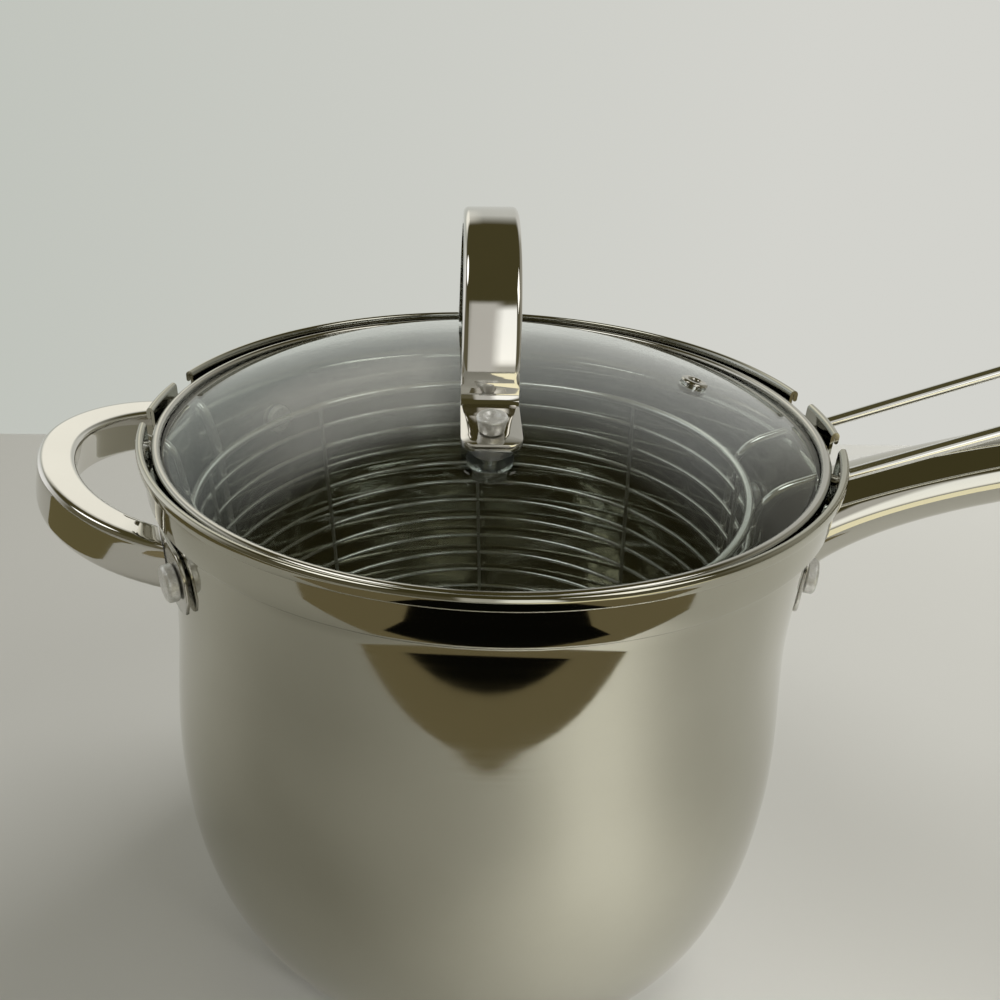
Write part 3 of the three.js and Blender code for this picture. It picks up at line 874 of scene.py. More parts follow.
def bezier(points: Sequence[Vector], share: float) -> tuple[Vector, Vector]:
    """Point and direction on a cubic curve.

    Args:
        points: its four control points.
        share: from 0 to 1.

    Returns:
        The point and the unit tangent there.
    """
    a, b, c, d = points
    rest = 1 - share
    point = a * rest**3 + b * (3 * rest**2 * share) + c * (3 * rest * share**2) + d * share**3
    along = (b - a) * rest**2 + (c - b) * (2 * rest * share) + (d - c) * share**2
    return point, along.normalized()


def bent_path(corners: Sequence[Vector], bends: Sequence[float], steps: int = 10) -> list[Vector]:
    """Straight runs between corners, with each corner rounded.

    Args:
        corners: the ends and corners of the runs.
        bends: how far from each corner its bend starts.
        steps: stretches of a bend.

    Returns:
        The points of the path.
    """
    points = [corners[0]]
    for before, corner, after, bend in zip(corners, corners[1:], corners[2:], bends):
        start = corner + (before - corner).normalized() * bend
        end = corner + (after - corner).normalized() * bend
        for index in range(steps + 1):
            share = index / steps
            points.append(start * (1 - share) ** 2 + corner * (2 * share * (1 - share)) + end * share**2)
    points.append(corners[-1])
    return points


# Sub-assemblies


@dataclass
class PotShell:
    """The drawn shell with its stepped collar, rolled hem and notched rim."""

    height: float = 216.0
    rim_radius: float = 115.0
    hem_height: float = 4.0
    hem_stand_out: float = 1.5
    hem_gap: float = 0.2
    collar_depth: float = 16.6
    ledge_width: float = 3.2
    step_round: float = 1.2
    step_ease: float = 1.5
    fold_drop: float = 1.5
    crown_rise: float = 1.6
    wall: float = 1.0
    waist_draw: float = 1.1
    waist_height: float = 164.0
    belly_swell: float = 6.3
    belly_height: float = 86.0
    floor_radius: float = 70.0
    bowl_power: float = 2.4
    base_thickness: float = 6.3
    notch_clearance: float = 4.1
    notch_round: float = 3.0
    notch_length: float = 24.0
    notch_over: float = 4.0
    wire_radius: float = 2.0
    wire_spread: float = 18.4
    wire_slope: float = 0.415
    wire_drop: float = 10.9
    solid_facets: int = 44
    facets: int = 176
    bowl_steps: int = 44
    wall_steps: int = 36
    step_steps: int = 10
    level: float = 0.2
    inside_slack: float = 0.3

    @property
    def collar_radius(self) -> float:
        """Outside of the collar."""
        return self.rim_radius - self.hem_stand_out

    @property
    def collar_inside(self) -> float:
        """Inside of the collar."""
        return self.collar_radius - self.wall

    @property
    def neck_radius(self) -> float:
        """Outside of the wall just below the collar."""
        return self.collar_radius - self.ledge_width

    @property
    def waist_radius(self) -> float:
        """Outside of the wall where it is narrowest."""
        return self.neck_radius - self.waist_draw

    @property
    def belly_radius(self) -> float:
        """Outside of the wall where it is widest."""
        return self.waist_radius + self.belly_swell

    @property
    def step_height(self) -> float:
        """Underside of the collar."""
        return self.height - self.collar_depth

    @property
    def wire_half_height(self) -> float:
        """Half the height of a sloping wire."""
        return self.wire_radius * math.hypot(1, self.wire_slope)

    def wall_radius(self, z: float) -> float:
        """Outside of the wall below the collar.

        Args:
            z: the height.

        Returns:
            The radius at that height.
        """
        if z >= self.waist_height:
            rise = (z - self.waist_height) / (self.step_height - self.waist_height)
            return self.waist_radius + self.waist_draw * rise**2
        swing = math.cos(math.pi * (z - self.belly_height) / (self.waist_height - self.belly_height))
        return self.waist_radius + self.belly_swell * (1 + swing) / 2

    def wire_height(self, x: float) -> float:
        """Middle of a basket wire on its slope across the collar."""
        return self.height - self.wire_drop + self.wire_slope * (x - self.collar_radius)

    def notch_floor(self) -> float:
        """Finds the bottom of a notch, just below its wire.

        Returns:
            Its height.
        """
        flat = self.collar_inside * math.cos(math.pi / self.solid_facets)
        crossing = math.sqrt(flat**2 - (self.wire_spread + self.wire_radius) ** 2)
        return self.wire_height(crossing) - self.wire_half_height - SEAT_GAP

    def outside(self) -> list[Point2]:
        """Draws the profile up the outside.

        Returns:
            Its points, from the axis to the underside of the hem.
        """
        points = [(0.0, self.base_thickness)]
        for index in range(self.bowl_steps + 1):
            angle = (1 - index / self.bowl_steps) * math.pi / 2
            across = max(math.cos(angle), 0.0) ** (2 / self.bowl_power)
            down = math.sin(angle) ** (2 / self.bowl_power)
            radius = self.floor_radius + (self.belly_radius - self.floor_radius) * across
            points.append((radius, self.belly_height - (self.belly_height - self.base_thickness) * down))
        neck_height = self.step_height - self.step_ease * self.step_round
        for index in range(1, self.wall_steps + 1):
            z = self.belly_height + (neck_height - self.belly_height) * index / self.wall_steps
            points.append((self.wall_radius(z), z))
        collar_start = self.step_height + self.step_ease * self.step_round
        low = self.wall_radius(neck_height)
        for index in range(1, self.step_steps + 1):
            share = index / self.step_steps
            swing = (1 - math.cos(math.pi * share)) / 2
            points.append(
                (low + (self.collar_radius - low) * swing, neck_height + (collar_start - neck_height) * share)
            )
        points.append((self.collar_radius, (collar_start + self.height - self.hem_height) / 2))
        points.append((self.collar_radius, self.height - self.hem_height - self.hem_gap))
        return points

    def inset(self, profile: Sequence[Point2]) -> list[Point2]:
        """Draws the same profile a wall's thickness further in.

        Args:
            profile: points up the outside.

        Returns:
            As many points up the inside.
        """
        moved = []
        last = len(profile) - 1
        for index, (radius, z) in enumerate(profile):
            before = profile[max(index - 1, 0)]
            after = profile[min(index + 1, last)]
            along = Vector((after[0] - before[0], after[1] - before[1])).normalized()
            moved.append((max(radius - along.y * self.wall, 0.0), z + along.x * self.wall))
        return moved

    def profile(self) -> list[Point2]:
        """Draws the whole section of the shell.

        Returns:
            Its points, up the outside, over the hem and down the inside.
        """
        outside = self.outside()
        low = self.height - self.hem_height
        half_gap = self.hem_gap / 2
        fold_centre = (self.collar_radius + half_gap, self.height - self.fold_drop)
        fold = arc(fold_centre, (half_gap, half_gap), 180, 0, 8)
        sheet = (self.hem_stand_out - self.hem_gap) / 2
        turned_edge = arc((self.rim_radius - sheet, low + sheet), (sheet, sheet), 180, 360, 8)
        crown = (self.rim_radius + self.collar_inside) / 2
        roll = (self.rim_radius - crown, self.crown_rise)
        outer_roll = arc((crown, self.height - self.crown_rise), roll, 0, 180, 18)
        inside = self.inset(outside)
        inside[0] = (0.0, self.base_thickness + self.wall)
        return [*outside, *fold, *turned_edge, *outer_roll, *reversed(inside)]

    def notch_cutter(self, end: int, side: int) -> Piece:
        """Makes the block that cuts one notch, with its lower edges rounded.

        Args:
            end: 1 towards the long handle, -1 towards the loop.
            side: 1 behind, -1 in front.

        Returns:
            The new object.
        """
        width = 2 * (self.wire_radius + self.notch_clearance)
        floor = self.notch_floor()
        top = self.height + self.notch_over
        Bench.begin()
        bpy.ops.mesh.primitive_cube_add(
            size=1,
            location=(end * self.collar_radius * MM, side * self.wire_spread * MM, (floor + top) / 2 * MM),
            scale=(self.notch_length * MM, width * MM, (top - floor) * MM),
        )
        cutter = Bench.made("notch")
        bpy.ops.object.mode_set(mode="EDIT")

        def lower_edge(edge: bmesh.types.BMEdge) -> bool:
            """Tells the two lower edges that run through the wall."""
            low = all(vertex.co.z < (floor + 1) * MM for vertex in edge.verts)
            return low and abs(edge.verts[0].co.y - edge.verts[1].co.y) < MM

        Bench.round_edges(cutter, lower_edge, self.notch_round)
        bpy.ops.object.mode_set(mode="OBJECT")
        return cutter

    def build(self) -> None:
        """Turns the shell, cuts its notches and gives its inside a darker steel colour than its outside, as painted
        shade.
        """
        piece = Bench.lathe("pot_shell", self.profile(), self.facets)
        for end in (-1, 1):
            for side in (-1, 1):
                Bench.carve(piece, self.notch_cutter(end, side))
        Bench.dress(piece, SHADED_BODY_STEEL, Body.POT, Slot.MIRROR_STEEL, "pot_body", angle=FINE_ANGLE)
        # The faces inside the pot get the darker steel, which is painted shade for the inside of the pot.
        piece.data.materials.append(SHADED_INSIDE_STEEL.material())
        for face in piece.data.polygons:
            centre = face.center / MM
            reach = math.hypot(centre.x, centre.y)
            faces_axis = face.normal.x * centre.x + face.normal.y * centre.y < 0
            inward = faces_axis and reach < self.collar_inside + self.inside_slack
            floor = face.normal.z > self.level and centre.z < self.step_height
            ledge = face.normal.z > self.level and reach < self.collar_inside - self.inside_slack
            face.material_index = 1 if inward or floor or ledge else 0


@dataclass
class BaseDisc:
    """The capped disc under the pot."""

    radius: float = 80.0
    thickness: float = 6.3
    wall: float = 0.8
    edge_round: float = 2.0
    lip: float = 1.2
    edge_break: float = 0.2
    groove_count: int = 6
    groove_division: float = 7.5
    groove_half: float = 0.5
    groove_depth: float = 0.12
    facets: int = 144

    def build(self) -> None:
        """Turns the cap and dresses the core inside it."""
        top = self.thickness - self.lip
        inner = self.radius - self.wall
        profile = [(0.0, 0.0)]
        for groove in range(1, self.groove_count + 1):
            middle = groove * self.radius / self.groove_division
            low, high = middle - self.groove_half, middle + self.groove_half
            profile.extend([(low, 0.0), (middle, self.groove_depth), (high, 0.0)])
        corner = (self.radius - self.edge_round, self.edge_round)
        inner_round = self.edge_round - self.wall
        profile.extend(arc(corner, (self.edge_round,) * 2, -90, 0, 8))
        profile.extend([(self.radius, top - self.edge_break), (self.radius - self.edge_break, top), (inner, top)])
        profile.extend(arc(corner, (inner_round,) * 2, 0, -90, 6))
        profile.append((0.0, self.wall))
        cap = Bench.lathe("base_plate", profile, self.facets)
        Bench.dress(cap, SATIN_PLATE, Body.POT, Slot.SATIN_STEEL, "base_cap")
        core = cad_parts["base_core"]
        core.data.materials.clear()
        core.data.materials.append(RIVET_METAL.material())


@dataclass
class Riveting:
    """A curved plate on the wall under a handle, with the rivets through its ends."""

    shell: PotShell
    name: str
    azimuth: float
    height: float
    plate_height: float
    rivet_spread: float
    plate_thickness: float = 1.2
    plate_round: float = 7.0
    plate_margin: float = 8.0
    head_radius: float = 6.0
    head_height: float = 3.6
    inner_height: float = 2.0
    shank_radius: float = 2.5
    head_round: float = 1.3
    head_break: float = 0.4
    crown_sweep: float = 82.0
    crown_share: float = 0.55
    crown_rise: Point2 = (0.05, 0.08)
    plate_grid: tuple[int, int] = (64, 10)
    plate_bevel: float = 0.3
    rivet_facets: int = 56
    trim_facets: int = 240

    @property
    def inside(self) -> float:
        """Radius of the plate's inner face."""
        half = self.plate_height / 2
        return max(self.shell.wall_radius(self.height - half), self.shell.wall_radius(self.height + half)) + SEAT_GAP

    @property
    def outside(self) -> float:
        """Radius of the plate's outer face."""
        return self.inside + self.plate_thickness

    @property
    def turn(self) -> float:
        """Angle from the handle's middle to a rivet."""
        return math.asin(self.rivet_spread / self.outside)

    def plate(self) -> None:
        """Bends the plate from a grid, with round ends, and gives it its thickness."""
        half_span = self.turn + self.plate_margin / self.outside
        half_length = half_span * self.outside
        Bench.begin()
        columns, rows = self.plate_grid
        bpy.ops.mesh.primitive_grid_add(x_subdivisions=columns, y_subdivisions=rows, size=2 * MM)
        piece = Bench.made(self.name + "_plate")

        def bend(point: Vector) -> Vector:
            """Takes a point of the flat grid to the plate's outer face.

            Args:
                point: from -1 to 1 along and across the plate.

            Returns:
                The point in the pot's frame.
            """
            along = point.x * half_length
            short = max(self.plate_round - (half_length - abs(along)), 0.0)
            lift = self.plate_round - math.sqrt(max(self.plate_round**2 - short**2, 0.0))
            rise = point.y * (self.plate_height / 2 - lift)
            angle = self.azimuth + along / self.outside
            return Vector((self.outside * math.cos(angle), self.outside * math.sin(angle), self.height + rise))

        Bench.remap(piece, bend)
        Bench.take(piece)
        thick = piece.modifiers.new("thickness", "SOLIDIFY")
        thick.thickness = self.plate_thickness * MM
        outward = Vector((math.cos(self.azimuth), math.sin(self.azimuth), 0))
        middle = min(piece.data.polygons, key=lambda face: -face.center.dot(outward))
        thick.offset = -1.0 if middle.normal.dot(outward) > 0 else 1.0
        bpy.ops.object.modifier_apply(modifier=thick.name)
        bpy.ops.object.mode_set(mode="EDIT")
        Bench.seal()
        Bench.soften(piece, self.plate_bevel, 2)
        Bench.dress(piece, SATIN_PLATE, Body.POT, Slot.SATIN_STEEL, self.name + "_bracket")

    def rivets(self) -> None:
        """Turns a rivet and sets it through each end of the plate."""
        narrow = min(
            self.shell.wall_radius(self.height - self.head_radius),
            self.shell.wall_radius(self.height + self.head_radius),
        )
        inner = narrow - self.shell.wall - self.head_radius**2 / (2 * narrow) - SEAT_GAP
        outer = self.outside + SEAT_GAP
        edge = self.head_radius - self.head_round
        top = outer + self.head_height
        profile = [
            (0.0, inner - self.inner_height),
            *arc((edge, inner - self.inner_height + self.head_round), (self.head_round,) * 2, -90, 0, 6),
            (self.head_radius, inner),
            (self.shank_radius, inner),
            (self.shank_radius, outer),
            (self.head_radius - self.head_break, outer),
            (self.head_radius, outer + self.head_break),
            *arc((edge, top - self.head_round), (self.head_round,) * 2, 0, self.crown_sweep, 7),
            (self.crown_share * edge, top + self.crown_rise[0]),
            (0.0, top + self.crown_rise[1]),
        ]
        pattern = Bench.lathe("rivet", profile, self.rivet_facets)
        front = -self.turn if self.azimuth == 0 else self.azimuth + self.turn
        lift = Matrix.Translation((0, 0, self.height))
        lay = Matrix.Rotation(math.pi / 2, 4, "Y")
        turns = {"front": front, "back": 2 * self.azimuth - front}
        places = {
            f"{self.name}_rivet_{end}_turned": lift @ Matrix.Rotation(turn, 4, "Z") @ lay
            for end, turn in turns.items()
        }
        for end, piece in zip(turns, Bench.repeat(pattern, places)):
            Bench.dress(piece, RIVET_METAL, Body.POT, Slot.ALUMINIUM, f"{self.name}_rivet_{end}")

    def build(self) -> None:
        """Makes the plate and both rivets."""
        self.plate()
        self.rivets()

    def trim(self, piece: Piece) -> None:
        """Cuts a handle's foot to the plate."""
        Bench.carve(piece, Bench.rod("trim", self.outside + SEAT_GAP, 0, self.shell.height, self.trim_facets))


@dataclass
class LoopHandle:
    """The helper loop, a bent bar in a plane that rises outward."""

    shell: PotShell
    tilt: float = math.radians(13.5)
    reach: float = 60.0
    depth: float = 17.0
    apex_width: float = 13.0
    arm_width: float = 11.0
    arm_spread: float = 48.5
    shoulder_reach: float = 30.5
    shoulder_spread: float = 55.0
    nose_spread: float = 23.5
    foot_drop: float = 36.3
    bracket_drop: float = 34.3
    bracket_height: float = 22.0
    rivet_spread: float = 65.0
    squareness: float = 7.0
    stations: int = 30
    points: int = 48

    def build(self) -> None:
        """Lofts the bar, trims its feet and rivets it on."""
        height = self.shell.height - self.bracket_drop
        seat = Riveting(self.shell, "loop", math.pi, height, self.bracket_height, self.rivet_spread)
        seat.build()
        foot_x = math.sqrt(seat.outside**2 - self.arm_spread**2)
        apex = self.reach - self.apex_width / 2
        line = [
            Vector((self.arm_width, -self.arm_spread, 0)),
            Vector((-self.shoulder_reach, -self.shoulder_spread, 0)),
            Vector((-apex, -self.nose_spread, 0)),
            Vector((-apex, 0, 0)),
        ]
        up = Vector((0, 0, 1))
        half = []
        for index in range(self.stations + 1):
            share = index / self.stations
            centre, along = bezier(line, share)
            width = self.arm_width + (self.apex_width - self.arm_width) * math.sin(share * math.pi / 2)
            half.append((centre, along, width))
        mirrored = [
            (Vector((centre.x, -centre.y, 0)), Vector((-along.x, along.y, 0)), width)
            for centre, along, width in reversed(half[:-1])
        ]
        rings = [
            section(centre, up.cross(along), up, (width, self.depth), self.squareness, self.points)
            for centre, along, width in [*half, *mirrored]
        ]
        piece = Bench.loft("loop_bar", rings)
        place = Matrix.Translation((-foot_x, 0, self.shell.height - self.foot_drop))
        Bench.move(piece, place @ Matrix.Rotation(self.tilt, 4, "Y"))
        seat.trim(piece)
        Bench.dress(piece, POLISHED_HANDLE, Body.POT, Slot.MIRROR_STEEL, "loop_handle")


@dataclass
class LongHandle:
    """The long handle, along a curve that leaves the wall steeply and flattens out."""

    shell: PotShell
    length: float = 181.0
    rise: float = 55.0
    root: Point2 = (26.0, 23.0)
    grip: Point2 = (80.0, 36.0)
    middle_drop: float = 44.5
    foot_size: Point2 = (37.0, 28.0)
    neck_size: Point2 = (30.0, 20.0)
    grip_size: Point2 = (29.0, 16.0)
    bracket_height: float = 26.0
    rivet_spread: float = 27.0
    tip_length: float = 15.0
    tip_sweep: float = math.radians(84)
    tip_steps: int = 14
    measures: int = 100
    foot_sink: float = 3.4
    neck_share: float = 0.45
    neck_ease: float = 1.6
    squareness: float = 2.3
    stations: int = 56
    points: int = 48

    def size(self, share: float) -> Point2:
        """Width and depth of the handle.

        Args:
            share: of its length.

        Returns:
            Both measures there.
        """
        to_neck = max(1 - share / self.neck_share, 0.0) ** self.neck_ease
        past = min(max((share - self.neck_share) / (1 - self.neck_share), 0.0), 1.0)
        to_grip = past * past * (3 - 2 * past)
        width, depth = (
            neck + (foot - neck) * to_neck + (grip - neck) * to_grip
            for foot, neck, grip in zip(self.foot_size, self.neck_size, self.grip_size)
        )
        return width, depth

    def build(self) -> None:
        """Lofts the handle, trims its foot and rivets it on."""
        height = self.shell.height - self.middle_drop
        seat = Riveting(self.shell, "long_handle", 0.0, height, self.bracket_height, self.rivet_spread)
        seat.build()
        start = Vector((seat.inside - self.foot_sink, 0, height))
        line = [
            start,
            start + Vector((self.root[0], 0, self.root[1])),
            start + Vector((self.grip[0], 0, self.grip[1])),
            start + Vector((self.length, 0, self.rise)),
        ]
        run = [bezier(line, index / self.measures)[0] for index in range(self.measures + 1)]
        tip_share = self.tip_length / sum((b - a).length for a, b in zip(run, run[1:]))
        spots = [(index / self.stations * (1 - tip_share), 1.0) for index in range(self.stations + 1)]
        for index in range(1, self.tip_steps + 1):
            angle = index / self.tip_steps * self.tip_sweep
            spots.append((1 - tip_share + tip_share * math.sin(angle), math.cos(angle)))
        across = Vector((0, 1, 0))
        rings = []
        for share, scale in spots:
            centre, along = bezier(line, share)
            width, depth = self.size(share)
            size = (width * scale, depth * scale)
            rings.append(section(centre, across, along.cross(across), size, self.squareness, self.points))
        along = bezier(line, 0.0)[1]
        inner = start - along * self.foot_size[1]
        rings.insert(0, section(inner, across, along.cross(across), self.foot_size, self.squareness, self.points))
        piece = Bench.loft("long_grip", rings)
        seat.trim(piece)
        Bench.dress(piece, SHADED_GRIP_STEEL, Body.POT, Slot.MIRROR_STEEL, "long_handle")


@dataclass
class WireBasket:
    """The basket of welded wire with its bent-wire handle and its two hooks."""

    shell: PotShell
    tilt: float = math.radians(3.1)
    turn: float = math.radians(-1.5)
    shift: float = 5.5
    clearance: float = 11.2
    top_ring_drop: float = 27.2
    top_wire: float = 1.6
    top_stand_out: float = 1.1
    ring_wire: float = 0.9
    ring_pitch: float = 10.0
    ring_count: int = 13
    rib_count: int = 8
    rib_bend: float = 8.0
    floor_pitch: float = 21.0
    floor_count: int = 4
    hub_radius: float = 11.0
    handle_bend: float = 10.0
    handle_length: float = 158.0
    end_bend: float = 15.0
    upright_depth: float = 48.0
    hook_overhang: float = 2.5
    hook_knee_inset: float = 7.5
    hook_shoulder: float = 4.0
    hook_bend: float = 4.0
    solid_facets: int = 24
    top_facets: int = 192
    top_joint: float = math.radians(12)
    ring_facets: int = 160
    hub_facets: int = 48
    more_facets: int = 32
    joint_step: int = 3
    rib_start: float = 0.4
    bead_swell: float = 1.15
    bead_shape: Point3 = (0.8, 1.0, 0.9)
    carrier_fineness: int = 6
    place: Matrix = field(init=False)

    def __post_init__(self) -> None:
        """Works out how the basket hangs in the pot."""
        lean = Matrix.Rotation(-self.tilt, 4, "Y") @ Matrix.Rotation(self.turn, 4, "Z")
        self.place = Matrix.Translation((-self.shift, 0, self.shell.height - self.top_ring_drop)) @ lean

    @property
    def radius(self) -> float:
        """Outside of the side rings."""
        return self.shell.waist_radius - self.shell.wall - self.clearance

    @property
    def rib_radius(self) -> float:
        """Middle of the upright ribs."""
        return self.radius - 3 * self.ring_wire - SEAT_GAP

    def carrier(self, end: int, side: int, stops: Sequence[float], shoulder: float | None = None) -> list[Vector]:
        """Corners of a thick wire: up outside the rings, then out along the slope across the collar.

        Args:
            end: 1 towards the long handle, -1 towards the loop.
            side: 1 behind, -1 in front.
            stops: how far out its later corners lie.
            shoulder: height of its bend over the top ring, or None where it meets the slope.

        Returns:
            The corners, from the lower end out.
        """
        shell = self.shell
        flat = self.radius * math.cos(math.pi / self.solid_facets)
        out = flat + shell.wire_radius + SEAT_GAP
        x = end * math.sqrt(out**2 - shell.wire_spread**2)

        def upright(height: float) -> Vector:
            """Point of the wire's upright stretch at a height in the basket's own frame."""
            return self.place @ Vector((x, side * shell.wire_spread, height))

        start = upright(0)
        climb = upright(1) - start
        meet = (shell.wire_height(end * start.x) - start.z) / (climb.z - end * shell.wire_slope * climb.x)
        bend = upright(meet if shoulder is None else shoulder)
        corners = [upright(-self.upright_depth), bend]
        for reach in stops:
            y = bend.y + (end * reach - bend.x) * math.tan(self.turn)
            corners.append(Vector((end * reach, y, shell.wire_height(reach))))
        return corners

    def dress(self, piece: Piece, node: str, hung: bool = True, finish: Steel = DRAWN_WIRE) -> None:
        """Hangs a piece in the pot and dresses it.

        Args:
            piece: the finished object.
            node: the CAD node that it stands for.
            hung: whether it was made in the basket's own frame.
            finish: what it is made of.
        """
        if hung:
            Bench.move(piece, self.place)
        Bench.dress(piece, finish, Body.BASKET, Slot.WIRE_STEEL, node)

    def joint(self, gap: int) -> float:
        """Azimuth of a butt weld, in the middle of one of the gaps between ribs."""
        return math.radians((gap % self.rib_count + 0.5) * 360 / self.rib_count)

    def rings(self) -> None:
        """Makes the top ring, the side rings and the floor rings."""
        top = self.rib_radius + self.top_stand_out
        hoop = Bench.ring("top_hoop", top, 0, self.top_wire, self.top_facets, self.top_joint)
        self.dress(hoop, "basket_top_ring")
        pattern = Bench.ring("side_hoop", self.radius - self.ring_wire, 0, self.ring_wire, self.ring_facets, 0)
        places = {}
        for index in range(1, self.ring_count + 1):
            lower = Matrix.Translation((0, 0, -index * self.ring_pitch))
            turn = Matrix.Rotation(self.joint(index * self.joint_step), 4, "Z")
            places[f"side_hoop_{index:02d}"] = lower @ turn
        for index, hoop in enumerate(Bench.repeat(pattern, places), 1):
            self.dress(hoop, f"basket_ring_{index:02d}")
        height = -self.ring_count * self.ring_pitch - self.rib_bend - 2 * self.ring_wire - SEAT_GAP
        for index in range(self.floor_count):
            radius = self.hub_radius + self.ring_wire + index * self.floor_pitch
            steps = self.hub_facets + self.more_facets * index
            joint = self.joint(2 * index)
            hoop = Bench.ring(f"floor_hoop_{index + 1}", radius, height, self.ring_wire, steps, joint)
            self.dress(hoop, f"basket_floor_ring_{index + 1}")

    def bead(self) -> Piece:
        """Makes a flattened spot weld.

        Returns:
            The new object.
        """
        Bench.begin()
        radius = self.bead_swell * self.ring_wire * MM
        bpy.ops.mesh.primitive_uv_sphere_add(segments=8, ring_count=5, radius=radius)
        bpy.ops.transform.resize(value=self.bead_shape)
        return Bench.made("bead")

    def ribs(self) -> None:
        """Makes one upright rib, bent in under the floor, with its spot welds, and copies it round the basket."""
        floor = -self.ring_count * self.ring_pitch - self.rib_bend
        corners = [
            Vector((self.rib_radius, 0, -self.top_wire * self.rib_start)),
            Vector((self.rib_radius, 0, floor)),
            Vector((self.hub_radius, 0, floor)),
        ]
        rib = Bench.wire("rib", bent_path(corners, [self.rib_bend]), self.ring_wire)
        weld_radius = self.rib_radius + self.ring_wire
        spots = [(weld_radius, -step * self.ring_pitch) for step in range(1, self.ring_count + 1)]
        under = floor - self.ring_wire - SEAT_GAP / 2
        for step in range(1, self.floor_count):
            spots.append((self.hub_radius + self.ring_wire + step * self.floor_pitch, under))
        welds = {f"weld_{index}": Matrix.Translation((x, 0, z)) for index, (x, z) in enumerate(spots)}
        pattern = Bench.join([rib, *Bench.repeat(self.bead(), welds)])
        step = math.tau / self.rib_count
        places = {f"rib_{index + 1}": Matrix.Rotation(index * step, 4, "Z") for index in range(self.rib_count)}
        for index, piece in enumerate(Bench.repeat(pattern, places), 1):
            self.dress(piece, f"basket_rib_{index}")

    def carriers(self) -> None:
        """Makes the bent-wire handle and the two hooks."""
        shell = self.shell
        stops = [shell.rim_radius + self.handle_length]
        corners = [*self.carrier(1, 1, stops), *reversed(self.carrier(1, -1, stops))]
        bends = [self.handle_bend, self.end_bend, self.end_bend, self.handle_bend]
        path = bent_path(corners, bends, 16)
        handle = Bench.wire("handle_wire", path, shell.wire_radius, self.carrier_fineness)
        self.dress(handle, "basket_handle_wire", hung=False, finish=POLISHED_WIRE)
        stops = [shell.collar_inside - self.hook_knee_inset, shell.rim_radius + self.hook_overhang]
        for name, side in (("front", -1), ("back", 1)):
            corners = self.carrier(-1, side, stops, self.hook_shoulder)
            path = bent_path(corners, [self.hook_bend] * 2)
            hook = Bench.wire(f"hook_{name}", path, shell.wire_radius, self.carrier_fineness)
            self.dress(hook, f"basket_hook_{name}", hung=False)

    def build(self) -> None:
        """Makes the whole basket."""
        self.rings()
        self.ribs()
        self.carriers()


